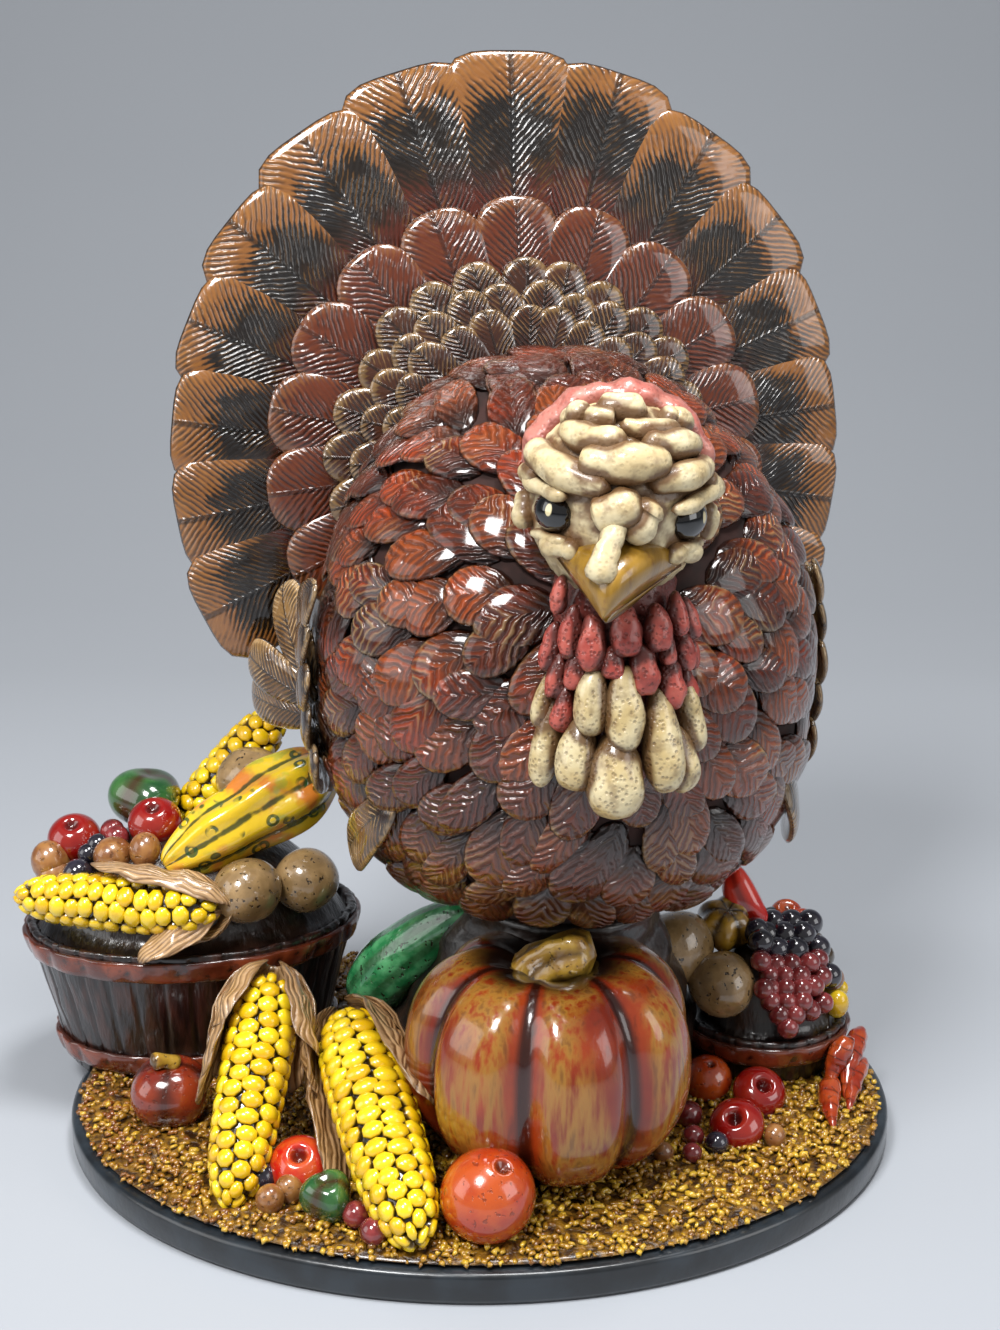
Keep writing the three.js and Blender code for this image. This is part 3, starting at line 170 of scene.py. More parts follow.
def dented(points, path, depth, size, seed):
    """Tubes made uneven: points pushed away from their path by lumps of a size."""
    return points + unit(points - path[:, :, None]) * (depth * lumps(points, size, seed))[..., None]


def sausage(steps, power):
    """The radius along a tube with rounded ends, as a share: (1 - |u|^power)^(1/2) for u from -1 to 1."""
    return np.sqrt(1 - np.abs(np.linspace(-1, 1, steps)) ** power)


def near(points, others, reach):
    """How near each of points[row, ...] lies to the nearest of other points: exp(-(distance / reach)^2)."""
    others = others.reshape(-1, 3)

    def square(row):
        row = row.reshape(-1, 3)
        return ((row ** 2).sum(-1)[:, None] + (others ** 2).sum(-1) - 2 * row @ others.T).min(-1)

    least = np.stack([square(row) for row in points]).reshape(points.shape[:-1])
    return np.exp(-np.maximum(least, 0) / reach ** 2)


def touch(points, reach):
    """How near each point of bodies points[body, ...] lies to another body."""
    return np.concatenate([near(points[i:i + 1], np.delete(points, i, 0), reach) for i in range(len(points))])


def turned(centre, reach, height, turns, depth=1.0, joint=None, cut=0.0):
    """An upright body turned about an axis through centre: a profile of reach and height, with Y kept at a
    share, and joint[ring, turn] cut into its reach."""
    angle = 2 * np.pi * np.arange(turns) / turns
    reach = np.asarray(reach, float)[:, None] * np.ones(turns)
    reach = reach - (0 if joint is None else cut * joint)
    height = np.asarray(height, float)[:, None] * np.ones(turns)
    points = np.stack([reach * np.cos(angle), reach * depth * np.sin(angle), height], -1)
    return (points + np.asarray(centre, float))[None]


def put(name, body, slot, finish, points, replaces=(), uv=None, ring=False, **values):
    """Makes a piece of closed bodies points[body, ring, turn], in millimetres, from a pole to a pole, or
    right round in both directions where ring is true. values are kept at the points, and faces are turned to
    point outwards."""
    count, rings, turns, _ = points.shape

    def weld(grid, width):
        grid = np.broadcast_to(grid, points.shape[:3] + width)
        if ring:
            return grid.reshape((-1,) + width)
        inner = grid[:, 1:-1].reshape((count, -1) + width)
        return np.concatenate([grid[:, 0, :1], inner, grid[:, -1, :1]], 1).reshape((-1,) + width)

    here, there = np.arange(turns), np.roll(np.arange(turns), -1)
    if ring:
        each = rings * turns
        low, high = np.arange(rings)[:, None] * turns, (np.roll(np.arange(rings), -1) * turns)[:, None]
        tris = np.zeros((0, 3), int)
    else:
        each = (rings - 2) * turns + 2
        low = 1 + np.arange(rings - 3)[:, None] * turns
        high = low + turns
        last = 1 + (rings - 3) * turns
        tris = np.concatenate([np.stack([0 * here, 1 + there, 1 + here], -1),
                               np.stack([0 * here + each - 1, last + here, last + there], -1)])
    quads = np.stack([low + here, low + there, high + there, high + here], -1).reshape(-1, 4)
    shift = (np.arange(count) * each)[:, None, None]
    quads, tris = (quads + shift).reshape(-1, 4), (tris + shift).reshape(-1, 3)
    places = weld(points, (3,)) * 0.001
    a, b, c, d = (places[quads[:, i]] for i in range(4))
    if (np.cross(c - a, d - b) * (a + b + c + d - 4 * places.mean(0))).sum() < 0:
        quads, tris = quads[:, ::-1], tris[:, ::-1]
    mesh = bpy.data.meshes.new(name)
    mesh.from_pydata(places, [], quads.tolist() + tris.tolist(), shade_flat=False)
    if uv is not None:
        corners = np.concatenate([quads.ravel(), tris.ravel()])
        mesh.uv_layers.new(name="UVMap").data.foreach_set("uv", weld(uv, (2,))[corners].ravel())
    for key, value in values.items():
        value = np.asarray(value, float)
        if value.ndim == 4 or (value.ndim == 3 and value.shape[-1] == 3 and key == "skin"):
            kept = mesh.attributes.new(key, "FLOAT_VECTOR", "POINT")
            kept.data.foreach_set("vector", weld(value, (3,)).ravel())
        else:
            value = value.reshape(value.shape + (1,) * (3 - value.ndim))
            kept = mesh.attributes.new(key, "FLOAT", "POINT")
            kept.data.foreach_set("value", weld(value, ()).ravel())
    piece = bpy.data.objects.new(name, mesh)
    bpy.context.scene.collection.objects.link(piece)
    mesh.materials.append(finish.material)
    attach(piece, body)
    if replaces:
        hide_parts(*replaces)
    return piece


# Finishes

def paint(code):
    """A colour from its six screen digits, made linear."""
    share = np.array([int(code[i:i + 2], 16) for i in (0, 2, 4)]) / 255
    return tuple(np.where(share <= 0.04045, share / 12.92, ((share + 0.055) / 1.055) ** 2.4)) + (1.0,)


class Tone:
    """A socket in a finish. Operators on it add Math nodes."""

    def __init__(self, finish, socket):
        self.finish, self.socket = finish, socket

    def math(self, operation, *values):
        return self.finish.node("Math", {"operation": operation}, dict(enumerate(values)))

    def __add__(self, other):
        return self.math("ADD", self, other)

    def __radd__(self, other):
        return self.math("ADD", other, self)

    def __sub__(self, other):
        return self.math("SUBTRACT", self, other)

    def __rsub__(self, other):
        return self.math("SUBTRACT", other, self)

    def __mul__(self, other):
        return self.math("MULTIPLY", self, other)

    def __rmul__(self, other):
        return self.math("MULTIPLY", other, self)

    def __truediv__(self, other):
        return self.math("DIVIDE", self, other)

    def __pow__(self, other):
        return self.math("POWER", self, other)

    def __abs__(self):
        return self.math("ABSOLUTE", self)

    def sine(self):
        return self.math("SINE", self)

    def ease(self, low, high):
        """0 below low, 1 above high and smooth between."""
        return self.finish.node("MapRange", {"interpolation_type": "SMOOTHSTEP"},
                                {"Value": self, "From Min": low, "From Max": high})


class Finish:
    """A painted ceramic finish under a clear glaze."""

    def __init__(self, name, coat=1.0, gloss=0.06):
        self.material = bpy.data.materials.new(name)
        self.material.use_nodes = True
        self.tree = self.material.node_tree
        self.shader = self.tree.nodes["Principled BSDF"]
        self.shader.inputs["Coat Weight"].default_value = coat
        self.shader.inputs["Coat Roughness"].default_value = gloss

    def node(self, kind, settings, inputs, out=0):
        """A node of a kind, its settings first, then its sockets' values or links; returns one of its
        outputs."""
        made = self.tree.nodes.new("ShaderNode" + kind)
        for key, value in settings.items():
            setattr(made, key, value)
        for key, value in inputs.items():
            if isinstance(value, Tone):
                self.tree.links.new(value.socket, made.inputs[key])
            else:
                made.inputs[key].default_value = value
        return Tone(self, made.outputs[out])

    def place(self):
        return self.node("TexCoord", {}, {}, "Object")

    def kept(self, name, out="Fac"):
        """A value that put() kept at the points."""
        return self.node("Attribute", {"attribute_name": name}, {}, out)

    def skin(self, axis):
        """An axis of the skin: cosine, sine, or z from the foot, -1, to the tip, 1."""
        return self.node("SeparateXYZ", {}, {0: self.kept("skin", "Vector")}, axis)

    def disc(self):
        """x across a leaf and y along it, both from -1 to 1."""
        both = self.node("UVMap", {}, {})
        x, y = (self.node("SeparateXYZ", {}, {0: both}, out) for out in ("X", "Y"))
        return x * 2 - 1, y * 2 - 1

    def noise(self, size, detail=3.0, stretch=(1, 1, 1), where=None):
        """Noise whose spots are about size millimetres, drawn out by stretch; on the skin, size is a
        share."""
        scale = 1000 / size if where is None else 1 / size
        where = self.place() if where is None else where
        where = self.node("VectorMath", {"operation": "MULTIPLY"}, {0: where, 1: stretch})
        return self.node("TexNoise", {}, {"Vector": where, "Scale": scale, "Detail": detail})

    def mix(self, share, low, high):
        """A colour between two, by a share. Each is a tone or six screen digits."""
        low, high = (paint(colour) if isinstance(colour, str) else colour for colour in (low, high))
        return self.node("Mix", {"data_type": "RGBA"}, {0: share, 6: low, 7: high}, 2)

    def done(self, colour, rough=0.25, height=None, depth=0.4):
        """Feeds the shader: the colour, the roughness and a bump of a depth in millimetres."""
        for key, value in (("Base Color", colour), ("Roughness", rough)):
            if isinstance(value, Tone):
                self.tree.links.new(value.socket, self.shader.inputs[key])
            else:
                self.shader.inputs[key].default_value = value
        if height is not None:
            bump = self.node("Bump", {}, {"Strength": 1.0, "Distance": depth * 0.001, "Height": height})
            self.tree.links.new(bump.socket, self.shader.inputs["Normal"])
        return self


def glaze(name, base, second, dark, size=9.0, groove=0.0, specks=0.0, rough=0.25, depth=0.25, coat=1.0,
          gloss=0.06, ends=0.0, end=0.86):
    """A fruit's finish: two colours mottled together, dark in the grooves, at the ends and in specks, with a
    slightly uneven surface where the mottle is wider than 4 millimetres."""
    f = Finish(name, coat, gloss)
    mottle = f.noise(size, 4.0)
    colour = f.mix(mottle.ease(0.36, 0.64), base, second)
    pits = f.noise(1.6, 2.0).ease(0.62, 0.7)
    height = f.noise(size / 2, 3.0) * 0.6 if size > 4 else 0.0
    if specks:
        colour = f.mix(pits * specks, colour, dark)
        height = height - pits * 0.6
    if groove:
        colour = f.mix((f.kept("groove") ** 3) * groove, colour, dark)
    if ends:
        colour = f.mix(abs(f.skin("Z")).ease(end, 0.995) * ends, colour, dark)
    return f.done(colour, f.noise(size, 2.0) * 0.16 + rough - 0.08, height, depth)


def quilled(name, length, width, pitch, slope, zones, tip, pale, dark, rim, quill, brushed=0.5, depth=0.5,
            square=2.4):
    """A feather's finish: engraved barbs that slope up from the quill, drawn by a sine of y * length - |x| *
    width * slope, coloured in zones from root to tip with ragged edges, and in a band round the tip where the
    reach, by the power of the feather's outline, passes a share. It is dark in the grooves and brushed with a
    pale colour on the ridges and the rim. zones are (where it starts along y, colour), and tip is the band's
    share and colour."""
    f = Finish(name)
    x, y = f.disc()
    tint = f.kept("tint")
    wander = f.noise(7, 3.0)
    run = y * (length / 2) - abs(x) * (width * slope) + wander * 3.5
    barb = (run * (2 * np.pi / pitch)).sine() * 0.5 + 0.5
    streak = f.noise(4, 3.0)
    ragged = (streak - 0.5) * 0.3 + (barb - 0.5) * 0.1 + (tint - 0.5) * 0.12
    colour = zones[0][1]
    for start, code in zones[1:]:
        colour = f.mix((y + ragged).ease(start - 0.1, start + 0.1), colour, code)
    reach = (abs(x) ** square + abs(y) ** square) ** (1 / square)
    band = (reach + ragged).ease(tip[0] - 0.05, tip[0] + 0.05) * (y + ragged).ease(0.3, 0.6)
    colour = f.mix(band, colour, tip[1])
    cut = f.noise(9, 2.0).ease(0.3, 0.55)
    colour = f.mix((1 - barb).ease(0.45, 1.0) * cut * 0.8, colour, dark)
    ridge = barb.ease(0.62, 0.95) * f.noise(6, 3.0).ease(0.46, 0.62) * brushed
    colour = f.mix(ridge, colour, pale)
    lip = reach.ease(0.84, 0.95) * f.noise(4, 2.0).ease(0.3, 0.6)
    colour = f.mix(lip * rim, colour, pale)
    colour = f.mix(reach.ease(0.985, 1.0), colour, dark)
    stem = 1 - abs(x).ease(0.02, 0.06)
    colour = f.mix(stem * quill, colour, dark)
    height = barb * cut * 0.55 + stem * 0.4 + streak * 0.35
    return f.done(colour, (1 - barb) * 0.15 + 0.16, height, depth)


tail_finish = quilled("tail feather", 98, 20, 2.6, 1.2, ((-1, "501c0c"), (0.24, "2a170a"), (0.36, "160e08")),
                      (0.76, "7e5026"), "a07038", "0a0503", 0.2, 0.7, 0.2, 0.55, 4.2)
covert_finish = quilled("covert feather", 60, 13, 2.3, 1.2,
                        ((-1, "1c0804"), (-0.1, "4c1d0c"), (0.4, "5a2610")), (0.93, "683a1c"), "7e5230",
                        "160603", 0.22, 0.5, 0.14, 0.5, 2.6)
inner_finish = quilled("inner covert feather", 40, 9, 2.2, 1.2,
                       ((-1, "0e0603"), (0.1, "32160a"), (0.6, "40200e")), (0.9, "5e4424"), "8e7048",
                       "0a0402", 0.5, 0.6, 0.45, 0.8)
tan_finish = quilled("tan feather", 44, 8, 2.5, 1.2, ((-1, "2c180a"), (-0.5, "64441f"), (0.3, "7e5e34")),
                     (0.86, "94744a"), "bc9c70", "1a0e06", 0.5, 0.7, 0.6, 0.7)


def breast_finish():
    """Body feathers: mahogany and red-brown, near black in the barbs' grooves, darker low on the belly, with
    olive-tan brushed on the ridges and the rims of some of them. Near black at the roots and round the edges
    is painted shade of the gaps between overlapping feathers."""
    f = Finish("body feather", 0.8, 0.1)
    x, y = f.disc()
    tint, belly = f.kept("tint"), f.kept("belly")
    run = y * 9.0 - abs(x) * 7.5 + f.noise(6, 2.0) * 5.0
    barb = (run * (2 * np.pi / 2.7)).sine() * 0.5 + 0.5
    colour = f.mix(tint.ease(0.2, 0.8), "58220e", "86401c")
    colour = f.mix(f.noise(22, 2.0).ease(0.5, 0.66) * 0.7, colour, "96340f")
    colour = f.mix(belly, colour, "42200f")
    # painted shade: near black towards the root, where the feather lies under the tips of the ring before it
    colour = f.mix((1 - y).ease(0.7, 1.7) * 0.9, colour, "0c0402")
    colour = f.mix((1 - barb).ease(0.5, 1.0) * 0.55, colour, "240c05")
    worn = f.noise(24, 3.0).ease(0.5, 0.64)
    ridge = barb.ease(0.45, 0.9) * y.ease(-0.6, 0.3) * worn * (0.7 - belly * 0.6)
    colour = f.mix(ridge * 0.8, colour, "947a50")
    reach = (x * x + y * y) ** 0.5
    lip = reach.ease(0.82, 0.93) * y.ease(-0.3, 0.4) * (worn * 0.7 + 0.3) * f.noise(6, 2.0).ease(0.3, 0.55)
    colour = f.mix(lip * (0.65 - belly * 0.5), colour, "94805a")
    # painted shade: near black round the edge, for the gaps between overlapping feathers
    colour = f.mix(reach.ease(0.96, 1.0), colour, "0c0402")
    return f.done(colour, 0.2 + belly * 0.15, barb * 0.7 + f.noise(5, 3.0) * 0.8, 1.1)


def washed_and_shaded_skin(name, base, second, wash_and_shade, crease_shade_amount=0.85, pits=0.0, rough=0.35, coat=0.6):
    """Folds of skin: two colours mottled together, with a dark brown in random patches and in pits, and the
    same brown as painted shade where the surface faces into the head or lies close against another fold."""
    f = Finish(name, coat, 0.12)
    # painted shade: this mask is high where the kept facing is low, on the side that faces the head and where
    # folds or drops touch one another or the head
    painted_crease_shade = 1 - f.kept("facing").ease(-0.4, 0.65)
    colour = f.mix(f.noise(7, 3.0).ease(0.35, 0.65), base, second)
    hole = f.node("TexVoronoi", {}, {"Vector": f.place(), "Scale": 760.0}).ease(0.12, 0.5)
    dirt = f.noise(4, 4.0).ease(0.48, 0.7) * 0.5
    colour = f.mix(dirt, colour, wash_and_shade)
    # the brown is laid over the creases as painted shade
    colour = f.mix(painted_crease_shade * crease_shade_amount, colour, wash_and_shade)
    colour = f.mix((1 - hole) * pits, colour, wash_and_shade)
    return f.done(colour, rough, f.noise(3, 3.0) * 0.5 + hole * (pits * 1.2), 0.45)


# the fourth colour of each is the brown of the random patches and pits, also laid as painted shade in the
# creases
cream_finish = washed_and_shaded_skin("ivory skin", "d8c9a2", "c6b184", "5e3a18", 0.9, 0.15, 0.5, 0.35)
lobe_finish = washed_and_shaded_skin("ivory lobe", "d6c69c", "c2ab78", "5a3818", 0.9, 0.4)
flesh_finish = washed_and_shaded_skin("red wattle", "b8584a", "a03c32", "4a1a12", 0.9, 0.5, 0.45, 0.4)
rim_finish = washed_and_shaded_skin("pink rim", "b4655a", "c27e70", "6e3226", 0.8, 0.2)


def beak_finish():
    """Beak: mustard, streaked with brown along it and darker towards the mouth."""
    f = Finish("mustard beak", 0.8, 0.1)
    streak = f.noise(5, 4.0, (1, 1, 0.35))
    colour = f.mix(streak.ease(0.36, 0.64), "7e5c16", "9a7424")
    colour = f.mix((1 - f.kept("facing").ease(-0.7, 0.2)) * 0.85, colour, "4a2e10")
    colour = f.mix(f.noise(3, 4.0).ease(0.56, 0.7) * 0.5, colour, "6a4212")
    return f.done(colour, 0.3, streak, 0.4)


def eye_finish():
    """Eye: glossy black with a painted highlight, a cream comma on its upper side."""
    f = Finish("black eye", 1.0, 0.02)
    x, y, z = (f.skin(axis) for axis in "XYZ")
    wide = (1 - z * z) ** 0.5
    # painted highlight: a cream spot that stands for a glint of light on the eye
    painted_highlight = (((x * wide - 0.28) / 0.16) ** 2 + ((y * wide - 0.3) / 0.3) ** 2) ** 0.5
    return f.done(f.mix((1 - painted_highlight.ease(0.8, 1.1)) * z.ease(0.0, 0.1), "08080a", "d8cba0"), 0.08)


def stave_finish():
    """Staves: near-black brown wood with streaks that run up and down, black in the joints, and a dark
    deck."""
    f = Finish("dark staves", 0.7, 0.12)
    streak = f.noise(2.6, 4.0, (1, 1, 0.12))
    colour = f.mix(streak.ease(0.4, 0.7), "140a08", "3c2018")
    board = f.noise(9, 4.0, (0.2, 1, 1))
    deck = f.mix(board.ease(0.4, 0.62), "120c0a", "2c1a12")
    colour = f.mix(f.kept("deck"), colour, deck)
    colour = f.mix(f.kept("joint") * 0.9, colour, "0c0706")
    return f.done(colour, 0.3, streak, 0.9)


def hoop_finish():
    """Hoops: copper brown, darker along their edges, uneven from the maker's fingers."""
    f = Finish("copper hoop", 1.0, 0.08)
    colour = f.mix(f.noise(10, 4.0).ease(0.36, 0.66), "56200f", "8a3e20")
    colour = f.mix(f.noise(3, 3.0).ease(0.56, 0.72) * 0.7, colour, "2a100a")
    colour = f.mix(f.kept("edge") * 0.75, colour, "200c08")
    colour = f.mix(f.kept("nail"), colour, "0a0504")
    return f.done(colour, 0.26, f.noise(4, 3.0), 0.4)


def pumpkin_finish():
    """Pumpkin: burnt orange-red with gold brushed down the shoulders of its ribs, black lines in the grooves
    and near-black round the stem."""
    f = Finish("burnt orange pumpkin", 0.7)
    z, groove = f.skin("Z"), f.kept("groove")
    brush = f.noise(2.4, 4.0, (1, 1, 0.14))
    colour = f.mix(f.noise(26, 4.0).ease(0.36, 0.64), "742008", "943610")
    patch = f.noise(26, 2.0, (1, 1, 0.5)).ease(0.34, 0.5) * z.ease(-0.8, -0.2)
    gold = (1 - groove).ease(0.25, 0.8) * brush.ease(0.3, 0.56) * patch
    colour = f.mix(gold * 0.9, colour, "986c28")
    colour = f.mix(brush.ease(0.52, 0.7) * 0.5, colour, "4a1c0a")
    colour = f.mix(groove.ease(0.72, 0.99) * 0.92, colour, "160603")
    colour = f.mix(z.ease(0.86, 0.97), colour, "140804")
    return f.done(colour, 0.16 + brush * 0.1, brush * 0.5 + f.noise(9, 3.0) * 0.5, 0.35)


def kernel_finish():
    """Corn: bright yellow kernels, each its own tone, brown at their feet as painted shade where they meet
    the cob.
    """
    f = Finish("yellow kernel")
    colour = f.mix(f.kept("tint"), "e0b004", "f4d41c")
    # painted shade: brown towards the foot of each kernel, in the gaps between kernels
    colour = f.mix((1 - f.skin("Z").ease(0.1, 0.5)) * 0.95, colour, "2a1804")
    colour = f.mix(f.noise(3, 3.0).ease(0.55, 0.72) * 0.35, colour, "c08a08")
    return f.done(colour, 0.25)


def husk_finish():
    """Husk: tan leaves with brown veins along them, dark at their roots and edges."""
    f = Finish("tan husk", 0.7, 0.12)
    x, y = f.disc()
    vein = ((x * 30.0 + f.noise(9, 3.0) * 9.0).sine() * 0.5 + 0.5) * 0.6 + f.noise(5, 3.0) * 0.4
    colour = f.mix(vein.ease(0.12, 0.42), "5e3e1e", "b8946a")
    colour = f.mix(f.noise(7, 3.0).ease(0.44, 0.66) * 0.6, colour, "967044")
    colour = f.mix((x * x + y * y).ease(0.8, 1.0) * 0.5, colour, "4a2c12")
    return f.done(colour, 0.32, vein, 0.55)


def gourd_finish():
    """Striped gourd: bright yellow with orange and pale green patches, thin wavy dark green lines in its
    grooves, small dark green rings scattered between them, and a dark hole in its end."""
    f = Finish("striped gourd")
    wave = f.noise(0.4, 2.0, (1, 1, 2.5), f.kept("skin", "Vector"))
    colour = f.mix(f.noise(11, 3.0).ease(0.48, 0.66), "d9b41c", "c8762a")
    colour = f.mix(f.noise(8, 3.0).ease(0.56, 0.68) * 0.6, colour, "8a9a3a")
    line = (f.kept("groove") + (wave - 0.5) * 0.35).ease(0.86, 0.97)
    colour = f.mix(line * 0.9, colour, "28381a")
    spread = f.node("TexVoronoi", {}, {"Vector": f.place(), "Scale": 150.0})
    ring = (1 - abs(spread - 0.24).ease(0.05, 0.1)) * f.noise(9, 2.0).ease(0.44, 0.52)
    colour = f.mix(ring * 0.9, colour, "1c4420")
    colour = f.mix(f.skin("Z").ease(0.975, 0.995), colour, "0c0a06")
    return f.done(colour, 0.2, wave * 0.5 + f.noise(6, 3.0) * 0.7 - ring * 0.4, 0.6)


def straw_finish():
    """Straw: gold, yellow and brown strands, redder on the left, with painted shade on their undersides."""
    f = Finish("gold straw", 0.8, 0.1)
    tint = f.kept("tint")
    colour = f.mix(tint.ease(0.0, 0.5), "6e4410", "a5781a")
    colour = f.mix(tint.ease(0.55, 1.0), colour, "cfa830")
    colour = f.mix(f.kept("red") * 0.8, colour, "7a3a16")
    # painted shade: darker brown on the side of each strand that faces down
    colour = f.mix(1 - f.kept("facing").ease(-0.6, 0.3), colour, "2a1808")
    return f.done(colour, 0.3, f.noise(3, 3.0), 0.3)


def earth_finish(name, base, second, rough, size=8):
    """Earth: two colours mottled together, with a coarse uneven surface."""
    f = Finish(name, 0.6, 0.15)
    clod = f.noise(size, 5.0)
    colour = f.mix(clod.ease(0.35, 0.7), base, second)
    return f.done(colour, rough, clod + f.noise(3, 4.0) * 0.5, 1.2)


breast = breast_finish()
beak = beak_finish()
eye = eye_finish()
staves = stave_finish()
hoops = hoop_finish()
pumpkin_skin = pumpkin_finish()
kernels = kernel_finish()
husks = husk_finish()
striped = gourd_finish()
straw = straw_finish()
soil = earth_finish("straw bed", "2a1606", "8a621a", 0.3, 3)
# painted shade: the mound is near black, its dark earth deepened for its place in shadow under the turkey
earth = earth_finish("earth mound", "0c0806", "2c1a10", 0.45)
black = glaze("black plinth", "0e1216", "1f272e", "08090c", 14, rough=0.35, depth=0.5, coat=0.5, gloss=0.15)
core = glaze("cob core", "2a1804", "120a02", "080401", 4)
inside = glaze("body clay", "2c0f07", "1a0804", "0c0503", 10, rough=0.9, coat=0.0, gloss=0.3)
stem_skin = glaze("mustard stem", "8a6420", "a8842e", "3a240c", 6, 0.8, 0.7, 0.32, 0.6)
orange_skin = glaze("orange skin", "a8330e", "b84c16", "4a1406", 8, 0.0, 0.5, 0.22, 0.3, ends=0.85, end=0.975)
chilli_skin = glaze("orange chilli", "86240c", "a84418", "1c0804", 8, 0.95, 0.4, 0.2, 0.4)
red_skin = glaze("red skin", "d0140f", "e83a24", "3a0806", 10, 0.7, 0.0, 0.16, 0.15, ends=0.85, end=0.94)
brick_skin = glaze("brick gourd", "6e1e0e", "8a3418", "1c0804", 9, 0.8, 0.3, 0.18, 0.3, ends=0.85, end=0.94)
ray_skin = glaze("rayed tomato", "b81412", "c04a1c", "3a0806", 6, 0.0, 0.0, 0.18, 0.2, ends=0.8, end=0.94)
potato_skin = glaze("potato skin", "806642", "a2845a", "1e1208", 8, 0.0, 0.9, 0.26, 0.6)
green_skin = glaze("mottled green", "257a46", "5aa870", "1c2410", 5, 0.9, 0.9, 0.24, 0.5)
pepper_skin = glaze("green pepper", "1e4a26", "3a6a34", "3a2410", 8, 0.95, 0.0, 0.18, 0.2, ends=0.7)
gold_skin = glaze("gold gourd", "8a6418", "b48a2c", "241404", 7, 0.95, 0.2, 0.24, 0.3, ends=0.8)
yellow_skin = glaze("yellow scrap", "c8a010", "dcbc28", "4a300c", 5)
dark_grape = glaze("dark grape", "17151d", "2a2632", "08070a", 6, rough=0.14, depth=0.1)
wine_grape = glaze("wine grape", "5c191a", "8a3434", "2a0a0c", 5, rough=0.16, depth=0.1)
nut_skin = glaze("brown nut", "7a4a24", "9a6a38", "2a160a", 4, 0.0, 0.4, 0.3, 0.4)


# Places

def on_ground(share_x, share_y, rest):
    """The middle of a piece that lies on the ground, by shares of its half length and half depth."""
    return np.array([GROUND_HALF_LENGTH * share_x, GROUND_HALF_DEPTH * share_y, GROUND_LEVEL + rest])


LARGE = {"foot": np.array([-92.25, 29, GROUND_LEVEL]), "rim": 52, "base": 41, "height": 46, "depth": 0.74,
         "crown": 32, "yaw": 9}
SMALL = {"foot": np.array([90.04, 13.5, GROUND_LEVEL]), "rim": 25.5, "base": 20, "height": 18, "depth": 0.95,
         "crown": 26, "yaw": 0}


def in_basket(basket, share_x, share_y, rest, lift=0.0):
    """The middle of a piece in a basket, by shares of its rim, on packing that is crowned in the middle."""
    packing = basket["height"] - 3 + basket["crown"] * max(0.0, 1 - np.hypot(share_x, share_y) ** 3)
    rim = basket["rim"]
    at = [share_x * rim, share_y * rim * basket["depth"], packing + rest - 2.5 + lift]
    return basket["foot"] + turn(at, basket["yaw"])


def between(low, high):
    """The middle, the direction and the length of a body from one point to another."""
    low, high = np.asarray(low, float), np.asarray(high, float)
    return (low + high) / 2, high - low, float(np.linalg.norm(high - low))


def on_turkey(points):
    """From the turkey's own axes to the figure's."""
    return turn(points, TURKEY_YAW) + TURKEY_PLACE


def on_head(points):
    """From the head's own axes to the figure's."""
    return on_turkey(turn(points, HEAD_YAW) + HEAD_PLACE)


def turkey_way(vector):
    """A direction in the turkey's axes, in the figure's."""
    return turn(vector, TURKEY_YAW)


def head_way(vector):
    """A direction in the head's axes, in the figure's."""
    return turn(vector, TURKEY_YAW + HEAD_YAW)


# Base: plinth, ground, straw and mound

edge = np.array([0, 0.5, 1, 1, 1, 1, 1, 1, 0.5, 0])
inset = np.array([0, 0, 1.6, 0.4, 0, 0, 0.4, 1.5, 0, 0])
level = np.array([0, 0, 0, 0.5, 1.6, 7.4, 8.5, 9, 9, 9.0])
plinth = turned((0, 0, 0), PLINTH_HALF_LENGTH * edge - inset, level, 160,
                PLINTH_HALF_DEPTH / PLINTH_HALF_LENGTH)
put("oval_plinth", "base", "black_glaze", black, plinth, ["plinth"])

edge = np.concatenate([[0, 0.5, 0.98, 1], np.linspace(1, 0, 46)])
level = np.concatenate([[9.2, 9.2, 9.2, 10.2], STRAW_LEVEL - 1.6 * np.linspace(1, 0, 46) ** 12])
ground = turned((0, 0, 0), GROUND_HALF_LENGTH * edge, level, 180, GROUND_HALF_DEPTH / GROUND_HALF_LENGTH)
ground[..., 2] += 0.7 * lumps(ground, 14, 3) * (edge[None, :, None] < 0.97) * (np.arange(50)[:, None] > 4)
put("ground", "base", "straw_glaze", soil, ground, ["ground_cover"])

count = 9600  # strands
around, out = dice.uniform(0, 2 * np.pi, count), np.sqrt(dice.uniform(0.1, 1, count))
spot = np.stack([(GROUND_HALF_LENGTH + 0.6) * out * np.cos(around),
                 (GROUND_HALF_DEPTH + 0.6) * out * np.sin(around),
                 STRAW_LEVEL - 0.3 - 2.0 * out ** 14 + dice.uniform(0, 1.0, count)], -1)
heading, swing = dice.uniform(0, 2 * np.pi, count), dice.normal(0, 0.9, count)
reach = dice.uniform(1.0, 2.6, count) * (1 - 0.5 * out ** 14)
u = np.linspace(-1, 1, 4)
bearing = heading[:, None] + swing[:, None] * u
strand = spot[:, None] + np.stack([np.cos(bearing) * reach[:, None] * u, np.sin(bearing) * reach[:, None] * u,
                                   0.8 * (1 - u * u) * np.ones((count, 1)) - 0.3], -1)
girth = dice.uniform(0.55, 1.05, count)[:, None] * np.array([0, 1, 1, 0])
points, facing = tubes(strand, girth, (0, 0, 1), 5)
put("straw", "base", "straw_glaze", straw, points, facing=facing, tint=dice.uniform(0, 1, count),
    red=np.clip((-spot[:, 0] - 20) / 90, 0, 1) * dice.uniform(0, 1.0, count))

